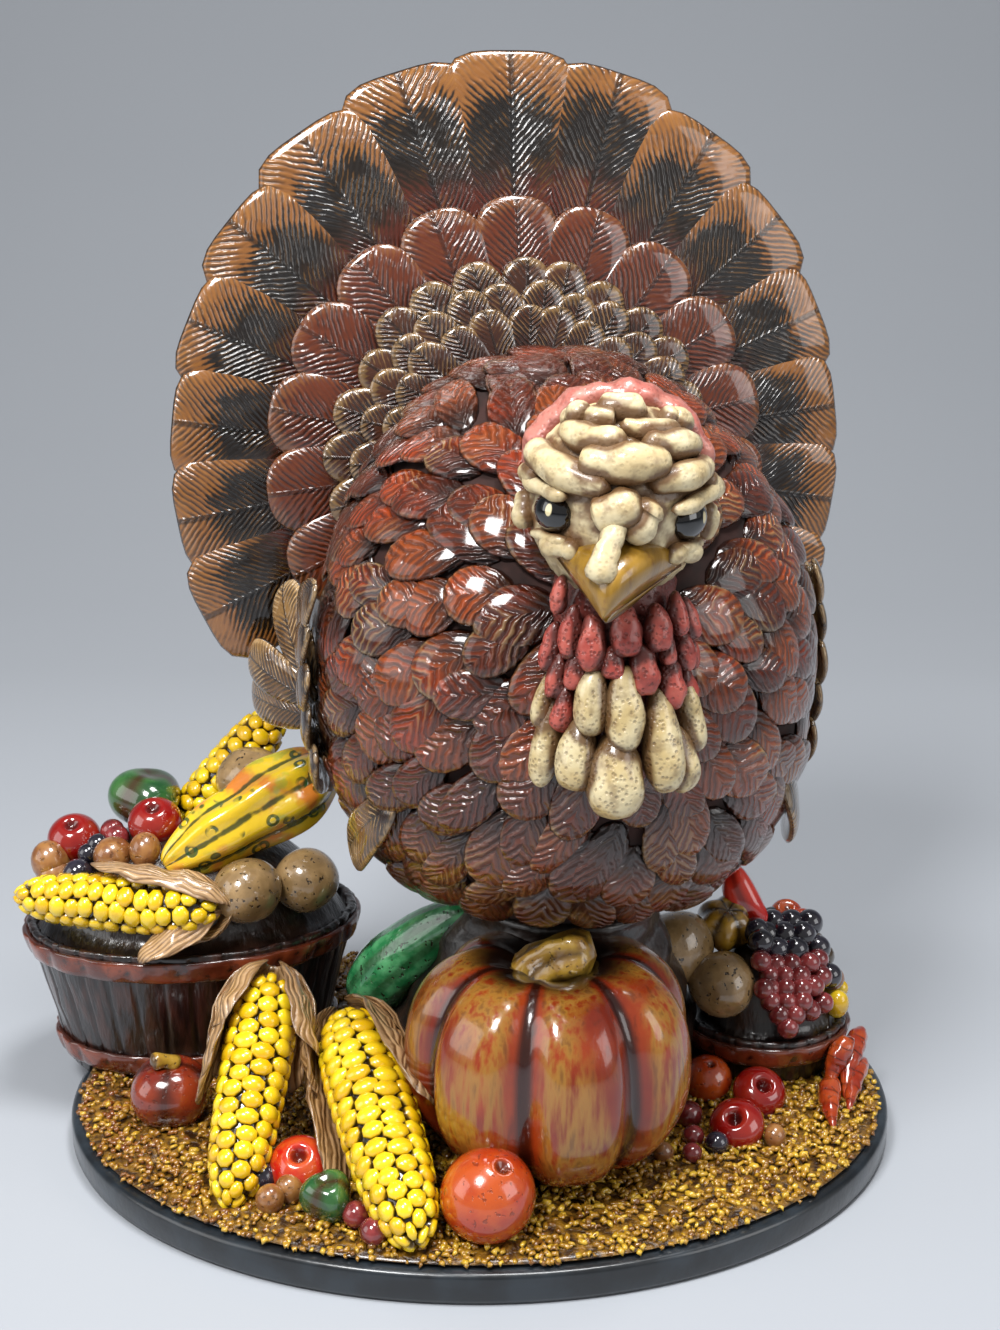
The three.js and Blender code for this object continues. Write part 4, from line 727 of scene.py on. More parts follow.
high = np.concatenate([[0, 0], np.linspace(2, 66, 22), [68.5, 68.5, 68.5, 78, 78.5, 78.5]])
wide = np.concatenate([[0, 60], np.interp(np.linspace(2, 66, 22), [0, 34, 68], [60, 45, 29.5]),
                       [29, 22, 14, 14, 13.4, 0]])
mound = turned((*MOUND_PLACE, GROUND_LEVEL), wide, high, 90)
lift = (high / 68.5).clip(0, 1)
mound[..., :2] += np.array([-12.0, 30.0]) * (1 - lift)[None, :, None, None]
rough = np.where((high > 0) & (high < 66.5), 2.2, 0)[None, :, None] * (lumps(mound, 17, 5) - 0.8)
mound = mound + unit((mound - [*MOUND_PLACE, 40]) * [1, 1, 0]) * rough[..., None]
put("earth_mound", "base", "earth_glaze", earth, mound, ["mound"])


# Baskets

def tick(turns, width):
    """Marks round a ring, one to each DENT_STEPS turns: exp(-(distance / width)^2) from the middle of
    each."""
    return np.exp(-((np.arange(turns) % DENT_STEPS - DENT_STEPS // 2) / width) ** 2)


def basket(name, b, staves_round, hoops_low):
    """A basket: staves with narrow joints between them, a rim, a deck inside and a crown of packing; then its
    hoops, each a flattened ring that follows the staves, dented every 13 mm by the maker's tool."""
    turns = staves_round * DENT_STEPS
    wall = np.linspace(0, 1, 9)
    rim, base, height = b["rim"], b["base"], b["height"]
    reach = np.concatenate([[0], base + (rim - base) * wall, [rim - 0.4, rim - 1.2, rim - 2.6, rim - 3]])
    level = np.concatenate([[0], height * wall, [height + 0.5, height + 0.8, height + 0.5, height - 1]])
    share = np.linspace(1, 0, 12)
    reach = np.concatenate([reach, (rim - 3) * share])
    level = np.concatenate([level, height - 3 + b["crown"] * (1 - share ** 3)])
    wall_rings = 13  # the rings of the profile up to the rim
    joint = tick(turns, 0.6)[None] * (np.arange(len(reach)) < wall_rings)[:, None]
    points = turned((0, 0, 0), reach, level, turns, b["depth"], joint, 0.8)
    points = points + unit(points * [1, 1, 0]) * (0.3 * lumps(points, 9, 8))[..., None]
    deck = (np.arange(len(reach)) >= wall_rings)[None, :, None] * 1.0
    put(name + "_staves", "base", "stave_glaze", staves, turn(points, b["yaw"]) + b["foot"], [name],
        joint=joint[None], deck=deck)
    section = np.linspace(0, 2 * np.pi, 17)[:-1]
    corner = (np.abs(np.cos(section)) ** 4 + np.abs(np.sin(section)) ** 4) ** -0.25
    dents = int(np.pi * rim * (1 + b["depth"]) / 13)
    turns = dents * DENT_STEPS
    dent = tick(turns, 1.3) * (np.maximum(np.cos(section), 0) ** 0.7)[:, None]
    for hoop, low in hoops_low:
        rise = low + 3.5 + 3.5 * np.sin(section) * corner
        reach = base + (rim - base) * rise / height + 0.9 + 1.4 * np.cos(section) * corner
        band = turned((0, 0, 0), reach, rise, turns, b["depth"], dent, 0.9)
        band = band + unit(band * [1, 1, 0]) * (0.25 * lumps(band, 11, 9))[..., None]
        rimmed = (np.abs(np.sin(section) * corner)[:, None] ** 8 + 0 * dent)[None]
        nail = tick(turns, 0.6) * np.exp(-(np.sin(section) / 0.3) ** 2)[:, None]
        put(hoop, "base", "hoop_glaze", hoops, turn(band, b["yaw"]) + b["foot"],
            [hoop.replace("band", "hoop")], ring=True, edge=rimmed,
            nail=nail[None] * (np.cos(section) > 0)[None, :, None])


basket("large_basket", LARGE, 34, [("large_basket_rim_band", 38), ("large_basket_foot_band", 3.5)])
basket("small_basket", SMALL, 20, [("small_basket_rim_band", 10)])


# Pumpkin, fruit and roots

def fruit(node, slot, finish, at, along, length, foot, **shape):
    """A plump piece that stands for a node of its own name."""
    points, skin, groove = plump(at, along, length, foot, **shape)
    put("glazed_" + node, "base", slot, finish, points, [node], skin=skin, groove=groove)


fruit("pumpkin", "pumpkin_glaze", pumpkin_skin, on_ground(0.165, -0.48, 34.5), (0, 0, 1), 69, 41, ribs=7,
      rib=0.14, sharp=3.0, dimple=10, full=(2.1, 2.6), rings=56, turns=252, uneven=0.7)
path = bezier(np.array([[[15, -45.5, 62], [15.5, -46.5, 71], [23, -50, 76.5], [33, -53, 77]]]), 12)
girth = np.array([[0, 10.5, 9.4, 8.2, 7.4, 7.0, 6.8, 6.8, 7.0, 7.2, 6.2, 0]])
points, _ = tubes(path, girth, (0, -1, 0.2), 30)
stalk_rib = np.cos(5 * 2 * np.pi * np.arange(30) / 30)
points = path[:, :, None] + (points - path[:, :, None]) * (1 + 0.1 * stalk_rib)[:, None]
points = dented(points, path, 0.7, 9, 12)
put("pumpkin_stalk", "base", "stem_glaze", stem_skin, points, ["pumpkin_stem"],
    groove=(0.5 - 0.5 * stalk_rib)[None, None])
fruit("green_squash", "green_glaze", green_skin, (-20.3, -2, 56), (0.65, -0.32, 0.68), 60, 13.5, tip=6.5,
      bend=3, full=2.5, ribs=8, rib=0.05, uneven=0.5)
fruit("navel_orange", "orange_glaze", orange_skin, on_ground(0.024, -0.86, 12.8), (0.32, -0.34, 0.89), 25.4,
      12.9, dimple=1.6, pit=0.13, rings=56, turns=48, uneven=0.25)
fruit("red_gourd", "red_glaze", brick_skin, on_ground(-0.75, -0.25, 10.4), (0.05, -0.1, 1), 21.5, 12.4,
      ribs=4, rib=0.05, dimple=1.5, pit=0.3, rings=36, turns=60)
stub = bezier(np.array([[[-90, -25, 28.5], [-92, -26.5, 31], [-94.5, -28, 32], [-97, -29.5, 31.8]]]), 10)
girth = np.array([[0, 3.0, 2.6, 2.3, 2.2, 2.3, 2.5, 2.7, 2.4, 0]])
points, _ = tubes(stub, girth, (0, -1, 0.2), 16)
put("red_gourd_stub", "base", "stem_glaze", stem_skin, points,
    groove=np.array([0, 0, 0, 0, 0, 0, 0, 0, 1, 1.0])[None, :, None])
fruit("front_tomato", "red_glaze", ray_skin, on_ground(-0.404, -0.624, 7.5), (0, -0.6, 1), 15, 9.0, dimple=4,
      pit=0.22, rings=40, turns=45)
fruit("front_pepper", "green_glaze", pepper_skin, on_ground(-0.332, -0.778, 7.5), (0, -0.3, 1), 15, 7.8,
      ribs=3, rib=0.18, dimple=2, turns=45)
fruit("ground_orange", "orange_glaze", orange_skin, on_ground(0.567, -0.11, 7), (0.1, -0.4, 1), 14.6, 7.6,
      dimple=1.2, pit=0.15, rings=40)
for i, spot in enumerate(((0.69, -0.175), (0.615, -0.37))):
    fruit(f"ground_tomato_{i + 1}", "red_glaze", red_skin, on_ground(*spot, 6), (0.2 - 0.5 * i, -0.7, 1),
          12.5, 8.2, dimple=5.0, pit=0.24, rings=44, turns=40)
chillies = (("chilli_1", (0.862, -0.1, 3.5), (0.918, -0.03, 17.5)),
            ("chilli_2", (0.897, -0.156, 4), (0.968, 0.09, 14.5)),
            ("chilli_3", (0.845, -0.33, 3.5), (0.87, -0.095, 7)), (None, (0.9, -0.22, 3.5), (0.97, 0.02, 8)))
for node, low, high in chillies:
    at, along, length = between(on_ground(*low), on_ground(*high))
    points, skin, _ = plump(at, along, length * 1.06, 1.6, 4.8 if node else 3.8, bend=1.4, rings=44, turns=20,
                            uneven=0.3)
    put("glazed_" + (node or "small_chilli"), "base", "orange_glaze", chilli_skin, points,
        [node] if node else [], skin=skin,
        groove=np.maximum(np.sin(skin[..., 2] * 15 + 0.4 * skin[..., 0]), 0) ** 4)
for i, (sx, sy, lift) in enumerate(((0.32, -0.78, 0), (0.68, -0.56, 1.6))):
    fruit(f"basket_potato_{i + 1}", "potato_glaze", potato_skin, in_basket(LARGE, sx, sy, 10.2, lift),
          (0, 0, 1), 20, 10.2, uneven=0.7, seed=i)
fruit("striped_gourd", "gourd_glaze", striped, in_basket(LARGE, 0.37, -0.32, 11, 2), (0.82, 0.42, 0.4), 63,
      10, tip=15.5, full=2.3, ribs=7, rib=0.13, dimple=2.0, pit=0.12, rings=60, turns=98, uneven=1.1)
for i, (sx, sy, lift) in enumerate(((-0.69, 0.07, 2), (-0.2, -0.09, -2))):
    fruit(f"basket_apple_{i + 1}", "red_glaze", red_skin, in_basket(LARGE, sx, sy, 7.5, lift), (0, -0.5, 1),
          15, 8.5, dimple=2.6, pit=0.25, rings=34)
fruit("basket_pepper", "green_glaze", pepper_skin, in_basket(LARGE, -0.25, 0.24, 10), (0.2, 0, 1), 20, 12.5,
      ribs=3, rib=0.16, dimple=2, turns=48)
fruit("rear_potato", "potato_glaze", potato_skin, in_basket(LARGE, 0.37, 0.1, 9.6, 8.5), (1, 0, 0.3), 22, 9.6,
      uneven=0.7)
fruit("right_small_potato", "potato_glaze", potato_skin, in_basket(SMALL, -0.59, -0.5, 6.4), (0, 0, 1), 20.5,
      10.4, uneven=0.6)
fruit("left_small_potato", "potato_glaze", potato_skin, (60.9, 10, 51), (1, 0.3, 0.2), 23.5, 11.5, uneven=0.7,
      seed=4)
fruit("gold_gourd", "gourd_glaze", gold_skin, in_basket(SMALL, -0.52, 0.1, 8.5, 3.5), (0.1, -0.5, 1), 17, 9.5,
      ribs=6, rib=0.16, dimple=2, turns=60)
fruit("red_pepper", "red_glaze", red_skin, in_basket(SMALL, -0.28, 0.27, 12, 4), (-0.5, 0.2, 0.85), 24, 5.5,
      tip=6.5, bend=2, ribs=4, rib=0.1, dimple=2)
for i, (sx, sy, lift) in enumerate(((0.28, 0.4, 6), (0.46, 0.23, 5))):
    fruit(f"small_tomato_{i + 1}", "orange_glaze", orange_skin, in_basket(SMALL, sx, sy, 5, lift),
          (0, -0.5, 1), 10, 5.4, dimple=1.8)


# Corn

def cob(node, foot, along, length, low, high, rows, middle=None):
    """A cob: a dark core and rows of kernels, each a small plump body that stands out from the core where its
    ring, a share of (1 - |z|^3)^(1/3), puts it. Returns the cob's middle and axes."""
    x, y, z = frames(along, (0, 1, 0))
    middle = np.asarray(foot) + z[0] * (length / 2 - low) if middle is None else middle
    points, _, _ = plump(middle, along, length - 2, low - 1.6, high - 1.6, full=3.0, rings=18, turns=24)
    put("glazed_" + node, "base", "corn_glaze", core, points, [node])
    steps = int(length / 4.6)
    around, level = np.meshgrid(np.arange(rows), np.linspace(-0.95, 0.94, steps))
    level = level + (around % 2 - 0.5) * 0.95 / steps + dice.normal(0, 0.008, level.shape)
    level = level.clip(-0.985, 0.975)
    around = around + 0.12 * np.sin(level * 5) + dice.normal(0, 0.06, around.shape)
    around, level = around.ravel() * 2 * np.pi / rows, level.ravel()
    radius = (low + (high - low) * (level + 1) / 2) * (1 - np.abs(level) ** 3) ** (1 / 3)
    away = np.cos(around)[:, None] * x + np.sin(around)[:, None] * y
    at = middle + away * (radius - 1.5)[:, None] + z * (level * length / 2)[:, None]
    out = unit(away + z * (np.sign(level) * np.abs(level) ** 6)[:, None])
    wide = np.maximum(np.pi * radius / rows * 1.05, 1.0) * dice.uniform(0.88, 1.06, len(at))
    tall = length / steps / 2 * dice.uniform(1.0, 1.14, len(at))
    points, skin, _ = plump(at, out, 4.4, wide, out=z, flat=tall / wide, full=3.4, boxy=3.2, rings=6, turns=8)
    put(node + "_kernels", "base", "corn_glaze", kernels, points, tint=dice.uniform(0, 1, len(at)), skin=skin)
    return middle, x[0], y[0], z[0]


def husk(node, axes, length, radius, sheaths, flaps=()):
    """A husk: leaves that start behind the cob's tip and run down its side at an angle round it, flaring at
    their ends. sheaths are (angle, how far down it reaches as a share of the length, flare, half width), and
    flaps are paths of leaves that hang free."""
    middle, x, y, z = axes
    angle = np.radians([s[0] for s in sheaths])
    down, flare, width = (np.array([s[i] for s in sheaths], float)[:, None] for i in (1, 2, 3))
    side = np.cos(angle)[:, None] * x + np.sin(angle)[:, None] * y
    end = length / 2
    path = np.stack([middle + side * 1.5 + z * (end + 6), middle + side * (radius + 2.5) + z * (end + 1),
                     middle + side * (radius + 1.5) + z * (end - 0.6 * down * length),
                     middle + side * (radius + flare) + z * (end - down * length)], 1)
    if len(flaps):
        path = np.concatenate([path, flaps])
        side = np.concatenate([side, np.full((len(flaps), 3), [0, -0.5, 1])])
        width = np.concatenate([width, np.full((len(flaps), 1), 6.0)])
    points, uv = leaves(path, side, width[:, 0] * 1.1, 1.1, 0.1, 2.0, cup=-1.8, grid=(9, 4, 36))
    points = points + 1.0 * lumps(points, 9, 14)[..., None] * side[:, None, None]
    put("glazed_" + node, "base", "husk_glaze", husks, points, [node], uv=uv,
        tint=dice.uniform(0, 1, len(points)))


left = cob("left_cob", on_ground(-0.545, -0.67, 8.5), (0.1, 0.76, 0.64), 66, 8.5, 10.5, 9)
husk("left_cob_husk", left, 66, 10.5,
     [(2, 0.52, 8, 10), (40, 0.45, 3, 11), (90, 0.5, 2, 11), (140, 0.45, 2, 11), (178, 0.6, 4, 9),
      (206, 0.28, 4, 7), (-26, 0.36, 9, 8)])
right = cob("right_cob", on_ground(-0.155, -0.88, 10), (-0.29, 0.88, 0.37), 78, 10, 12.5, 10)
husk("right_cob_husk", right, 78, 12.5,
     [(4, 0.55, 4, 9), (45, 0.45, 2, 11), (90, 0.45, 2, 11), (135, 0.45, 2, 11), (176, 0.62, 6, 10),
      (200, 0.3, 4, 7)])
lying = cob("basket_cob", in_basket(LARGE, -0.86, -0.45, 7.5, 9.5), (0.978, -0.206, 0.01), 62, 7.5, 9, 8)
husk("basket_cob_husk", lying, 62, 9,
     [(90, 0.5, 2, 7), (130, 0.55, 2, 6), (178, 0.62, 3.5, 5), (20, 0.3, 2, 6)],
     [[[-78, -1, 71], [-84, -7, 70], [-92, -12, 65], [-102, -14.5, 57.5]]])
cob("rear_cob", None, (0.65, 0.16, 0.74), 46, 8, 8, 8, in_basket(LARGE, 0.26, 0.34, 8, 10))


# Grapes, nuts and other small produce

def beads(name, slot, finish, places, radius, replaces=(), long=1.0):
    """Grapes, nuts and olives: small plump bodies."""
    places = np.asarray(places, float)
    radius = np.broadcast_to(radius, len(places))
    points, skin, groove = plump(places, dice.normal(0, 0.5, (len(places), 3)) + [0, 0, 1], 2 * radius * long,
                                 radius, rings=12, turns=18)
    put(name, "base", slot, finish, points, replaces, skin=skin, groove=groove)


def bunch(at, rows, pitch):
    """The middles of grapes in rows of (grapes, how far back, height) in pitches."""
    return np.concatenate([at + np.stack([(np.arange(n) - (n - 1) / 2) * pitch, np.full(n, back * pitch),
                                          np.full(n, rise * pitch)], -1) for n, back, rise in rows])


def straw_spots(*spots):
    """The middles of nuts and grapes in the straw, and their radii, from shares of the ground and a
    radius."""
    x, y, radius = np.array(spots).T
    return np.stack([GROUND_HALF_LENGTH * x, GROUND_HALF_DEPTH * y, STRAW_LEVEL + radius * 2 / 3], -1), radius


def packed_spots(basket, *spots):
    """The middles of nuts and berries on a basket's packing, and their radii, from shares of its rim, a lift
    and a radius each."""
    places = [in_basket(basket, x, y, radius, lift) for x, y, lift, radius in spots]
    return np.array(places), [spot[3] for spot in spots]


dark_rows = [(2, -0.5, -0.5), (3, 0.4, 0), (4, 1.3, 0.3)]
beads("dark_grape_bunch", "dark_grape_glaze", dark_grape,
      bunch(in_basket(SMALL, 0.2, -0.1, 3.9, 2), dark_rows, 5.77), 4.4, ["dark_grapes"])
wine_rows = [(1, 0, 0), (2, 0.45, 0.7), (3, 0.9, 1.4), (3, 1.45, 2.05), (3, 2.1, 2.65), (2, 2.75, 3.15)]
beads("wine_grape_bunch", "red_grape_glaze", wine_grape,
      bunch(in_basket(SMALL, 0.15, -0.95, 3.2, 5), wine_rows, 4.74), 3.45, ["red_grapes"])

beads("side_wine_grapes", "red_grape_glaze", wine_grape,
      *packed_spots(SMALL, (0.44, -0.74, 1.5, 3.5), (0.5, -0.56, 2, 3.5), (0.47, -0.38, 2.5, 3.4),
                    (0.62, -0.38, 2, 3.5), (0.62, -0.58, 1.5, 3.4), (-0.12, -0.72, 2, 3.4),
                    (-0.14, -0.52, 3, 3.4), (0.6, -0.2, 2.5, 3.4)))
beads("side_dark_grapes", "dark_grape_glaze", dark_grape,
      *packed_spots(SMALL, (-0.12, -0.3, 3, 4.2), (-0.16, -0.1, 4, 4.2), (0.62, 0.0, 3, 4.2),
                    (0.75, -0.2, 2, 4.0), (0.1, 0.35, 4, 4.2)))
beads("basket_olives", "green_glaze", pepper_skin,
      *packed_spots(SMALL, (0.72, 0.2, 3, 4.0), (0.64, 0.4, 4, 4.2), (0.5, 0.6, 3, 4.0)), long=1.2)
beads("basket_walnuts", "potato_glaze", nut_skin,
      *packed_spots(SMALL, (0.2, 0.62, 4, 4.6), (-0.1, 0.6, 4, 4.6), (-0.4, 0.62, 3, 4.6),
                    (-0.75, 0.3, 2, 4.4), (0.82, -0.02, 1.5, 3.8)))
beads("yellow_scraps", "corn_glaze", yellow_skin,
      *packed_spots(SMALL, (0.84, -0.34, 1.5, 3.6), (0.9, 0.16, 1.5, 3.4)), long=1.3)
beads("loose_wine_grapes", "red_grape_glaze", wine_grape,
      *straw_spots((-0.265, -0.83, 3.9), (-0.223, -0.91, 3.9), (0.507, -0.3, 4.3), (0.508, -0.41, 3.3),
                   (0.498, -0.501, 3)))
beads("loose_dark_grapes", "dark_grape_glaze", dark_grape,
      *straw_spots((-0.49, -0.652, 4.7), (0.56, -0.455, 3.6)))
beads("loose_nuts", "potato_glaze", nut_skin,
      *straw_spots((-0.462, -0.756, 4.1), (-0.422, -0.706, 4.1), (0.432, -0.498, 3), (0.702, -0.408, 3.2)),
      long=1.15)
beads("basket_nuts", "potato_glaze", nut_skin,
      *packed_spots(LARGE, (-0.8, -0.15, 1, 6), (-0.83, -0.11, 7, 6), (-0.45, -0.3, -3, 6),
                    (-0.26, -0.39, -1.3, 5)), long=1.15)
beads("basket_berries", "dark_grape_glaze", dark_grape,
      *packed_spots(LARGE, (-0.66, -0.36, 2.4, 4.7), (-0.54, -0.17, 2, 3.6), (-0.6, -0.21, 2.4, 3.4)))
beads("basket_cherries", "red_grape_glaze", wine_grape,
      *packed_spots(LARGE, (-0.46, 0.02, 0.8, 3.8), (-0.43, -0.09, -0.5, 4)))


# Turkey's body

def egg(way, lift):
    """The body's surface in a direction, lifted off it: an ellipsoid of power 2 above its widest level and
    2.5 below, whose top leans back by the square of the height."""
    x, y, z = np.moveaxis(way, -1, 0)
    power = np.where(z < 0, 2.5, 2.0)
    reach = (np.hypot(x, y) ** power + np.abs(z) ** power) ** (-1 / power)
    height = z * reach * (np.where(z < 0, BODY_BELOW, BODY_ABOVE) + lift)
    back = y * reach * (BODY_HALF_DEPTH + lift) + BODY_LEAN * (np.maximum(height, 0) / BODY_ABOVE) ** 2
    return np.stack([x * reach * (BODY_HALF_WIDTH + lift), back, np.maximum(height + BODY_LIFT, 0.6)], -1)


def on_body(bearing, height, outset):
    """A point of the body by its bearing from the front and its height above the widest level."""
    below = height < 0
    power, tall = np.where(below, 2.5, 2.0), np.where(below, BODY_BELOW, BODY_ABOVE)
    ring = (1 - (np.abs(height) / tall) ** power) ** (1 / power)
    b = np.radians(bearing)
    lean = BODY_LEAN * (np.maximum(height, 0) / BODY_ABOVE) ** 2
    back = lean - (BODY_HALF_DEPTH * ring + outset) * np.cos(b)
    return np.stack([(BODY_HALF_WIDTH * ring + outset) * np.sin(b), back, height + float(BODY_LIFT)], -1)


def from_neck(theta, phi):
    """Directions at an angle theta from the neck, and at phi round it, in the turkey's axes."""
    cos, sin = np.cos(np.radians(NECK_RISE)), np.sin(np.radians(NECK_RISE))
    neck, over = np.array([0, -cos, sin]), np.array([0, sin, cos])
    theta, phi = np.asarray(theta)[..., None], np.asarray(phi)[..., None]
    return np.cos(theta) * neck + np.sin(theta) * (np.cos(phi) * np.array([1.0, 0, 0]) + np.sin(phi) * over)


def body_feathers():
    """Rings of feathers round the neck. Each runs from its root on the body to a tip that stands off it, away
    from the head, over the roots of the next ring."""
    theta, phi = [], []
    for k in range(18):
        angle = np.radians(16 + 9.2 * k)
        n = max(6, int(round(2 * np.pi * np.sin(angle) * 68 / 11.4)))
        theta.append(np.full(n, angle) + dice.normal(0, 0.03, n))
        phi.append(2 * np.pi * (np.arange(n) + 0.5 * (k % 2)) / n + dice.normal(0, 0.03, n))
    theta, phi = np.concatenate(theta), np.concatenate(phi)
    along = np.radians(18.5) * dice.uniform(0.82, 1.15, len(theta))
    stage = np.linspace(-0.35, 0.65, 4)
    lift = np.array([-1.0, 0.9, 1.8, 1.6]) + dice.uniform(-0.3, 0.9, (len(theta), 1)) * [0, 0.5, 1, 1]
    swing = dice.normal(0, 0.1, len(theta))
    ways = from_neck(theta[:, None] + along[:, None] * stage, phi[:, None] + swing[:, None] * stage)
    path = egg(ways, lift)
    keep = path[:, 3, 2] > 5
    path = path[keep]
    face = unit(path.mean(1) - [0, 0, BODY_LIFT])
    belly = np.clip((60 - path[:, 1, 2]) / 60, 0, 1) * np.clip((90 - np.abs(path[:, 1, 0])) / 60, 0, 1)
    width = 7.9 * dice.uniform(0.82, 1.15, len(path))
    points, uv = leaves(on_turkey(path), turkey_way(face), width, 1.5, 0.1, 2.1, cup=-0.5, grid=(4, 2, 16))
    put("body_feathers", "turkey", "feather_glaze", breast, points, uv=uv, tint=dice.uniform(0, 1, len(path)),
        belly=belly)


def body_core():
    """The casting under the feathers: the egg down to its flat foot, in to the rim of the hole, up through it
    and back over the inside of the wall."""
    round_it = np.linspace(0, 2 * np.pi, 64, endpoint=False)

    def shell(polar, lift, lowest):
        down = np.radians(polar)[:, None]
        way = np.stack([np.sin(down) * np.cos(round_it), np.sin(down) * np.sin(round_it),
                        np.cos(down) + 0 * round_it], -1)
        return np.maximum(egg(way, lift), [-1e3, -1e3, lowest])

    rim = FOOT_HOLE_RADIUS * np.stack([np.cos(round_it), np.sin(round_it), 0 * round_it], -1)
    rings = np.concatenate([shell(np.linspace(0, 166, 40), -0.6, 0.6), rim[None] + [0, 0, 0.6],
                            rim[None] + [0, 0, BODY_WALL],
                            shell(np.linspace(162, 0, 24), -BODY_WALL, BODY_WALL)])
    put("body_clay", "turkey", "feather_glaze", inside, on_turkey(rings)[None], ["turkey_body"])


body_feathers()
body_core()


# Tail, coverts and wings

def fan(name, finish, slot, node, count, tip, side, root, width, ahead, step, thick, tilt, square=2.6,
        taper=0.5, stray=0.0):
    """Feathers that fan out round the tail's middle. Each lies a step behind the one above it and is tilted
    about its quill, so that it laps over the next one down. stray is how unevenly they are laid, in degrees
    and in millimetres."""
    place = np.arange(count) - (count - 1) / 2
    angle = np.radians(place * TAIL_SPREAD / (count - 1) + stray * dice.normal(0, 1, count))
    lean = np.radians(TAIL_LEAN)
    up, front = np.array([0, np.sin(lean), np.cos(lean)]), np.array([0, -np.cos(lean), np.sin(lean)])
    way = np.cos(angle)[:, None] * up + np.sin(angle)[:, None] * np.array([1.0, 0, 0])
    radius = tip + (side - tip) * np.sin(angle) ** 2 + stray * dice.normal(0, 1, count)
    middle = TAIL_MIDDLE + front * (ahead - np.abs(place) * step)[:, None]
    grown = radius - root
    reach = np.stack([np.full(count, root), root + grown / 3, root + grown * 2 / 3, radius], 1)
    path = middle[:, None] + way[:, None] * reach[..., None]
    lap = tilt * -np.sign(place)
    points, uv = leaves(on_turkey(path), turkey_way(front), width * radius / tip, thick, taper, square,
                        tilt=lap, grid=(9, 5, 36))
    put(name, "turkey", slot, finish, points, node, uv=uv, tint=dice.uniform(0, 1, count))


fan("tail_feathers", tail_finish, "tail_glaze", ["tail_fan"], 15, 120, 104, 22, 20.5, 0.4, 0.8, 2.8, 1.2,
    square=4.2, taper=0.55)
fan("outer_coverts", covert_finish, "feather_glaze", ["covert_fan"], 13, 78, 77, 16, 14.6, 7.0, 0.25, 2.8,
    0.9)
fan("inner_coverts", inner_finish, "tan_feather_glaze", ["inner_covert_fan"], 17, 61, 59, 22, 9.4, 12.0, 0.1,
    2.2, 0.6, square=2.3, taper=0.2, stray=1.0)
fan("middle_coverts", inner_finish, "tan_feather_glaze", [], 18, 54, 52, 18, 8.4, 14.6, 0.1, 2.0, 0.6,
    square=2.3, taper=0.2, stray=1.2)
fan("inmost_coverts", inner_finish, "tan_feather_glaze", [], 17, 47, 45, 14, 8.0, 17.0, 0.1, 2.0, 0.6,
    square=2.3, taper=0.2, stray=1.2)


def wing(side, name, spread):
    """A wing: long feathers that run from the shoulder to tips behind it, rows of short feathers over the
    shoulder, and a broad one low on the flank, before the wing. side is -1 on the left."""
    # The ends of the long feathers, by bearing, height and outset from the body
    tip = np.array([[119, 13.9, 20], [118, -7.7, 30.8], [119, -20.8, 32.3], [115, -34.7, 10.8]])
    root = np.array([[108, -13, 5.0], [108, -17, 5.0], [108, -22, 5.0], [106, -26, 4.0]])
    start, end = on_body(*root.T), on_body(*(tip * [1, 1, spread]).T)
    out = np.array([0.7, -0.7, 0])
    long = np.stack([start, start * 2 / 3 + end / 3 + out * 4, start / 3 + end * 2 / 3 + out * 3, end], 1)
    rows, place = np.meshgrid(np.arange(5), np.arange(4), indexing="ij")
    rows, place = rows.ravel(), place.ravel()
    bearing = 84 + 8.0 * place + 1.5 * (rows % 2)
    height = 24 - 12.0 * rows - 3.0 * place
    grow = np.linspace(0, 1, 4)
    small = np.stack([on_body(bearing + 10 * g, height - 13 * g,
                              3.0 + 4.5 * np.sin(np.pi * (0.2 + 0.6 * g)) + 0.4 * place)
                      for g in grow], 1)
    mirror = np.array([side, 1, 1])
    face = turkey_way(out * mirror)
    points, uv = leaves(on_turkey(long * mirror), face, 8.2, 2.2, 0.25, 2.6, grid=(9, 4, 34))
    put(name + "_primaries", "turkey", "tan_feather_glaze", tan_finish, points, [name], uv=uv,
        tint=dice.uniform(0, 1, 4))
    normal = unit(small.mean(1) * [1, 1, 0])
    points, uv = leaves(on_turkey(small * mirror), turkey_way(normal * mirror), 6.8, 1.6, 0.15, 2.3,
                        grid=(7, 3, 24))
    put(name + "_coverts", "turkey", "tan_feather_glaze", tan_finish, points, uv=uv,
        tint=dice.uniform(0, 1, len(points)))
    low = on_body(np.linspace(54, 80, 4), np.linspace(-30, -54, 4), np.array([0.5, 4, 6.5, 8.5]))
    normal = unit(low.mean(0) * [1, 1, 0.3])
    points, uv = leaves(on_turkey(low * mirror)[None], turkey_way(normal * mirror), 8.6, 2.2, 0.2, 2.4,
                        grid=(9, 4, 34))
    put(name + "_flank_feather", "turkey", "feather_glaze", tan_finish, points, uv=uv, tint=np.array([0.6]))


wing(-1, "left_wing", 1.0)
wing(1, "right_wing", 0.45)


# Turkey's head

def skull(bearing, rise, outset=0.0):
    """A point of the head by its bearing from the front and its rise from the middle, in degrees: an
    ellipsoid, lower above the middle than below it."""
    b, r = np.radians(bearing), np.radians(rise)
    return np.stack([(HEAD_HALF_WIDTH + outset) * np.sin(b) * np.cos(r),
                     -(HEAD_HALF_DEPTH + outset) * np.cos(b) * np.cos(r),
                     (np.where(r > 0, HEAD_ABOVE, HEAD_BELOW) + outset) * np.sin(r)], -1)


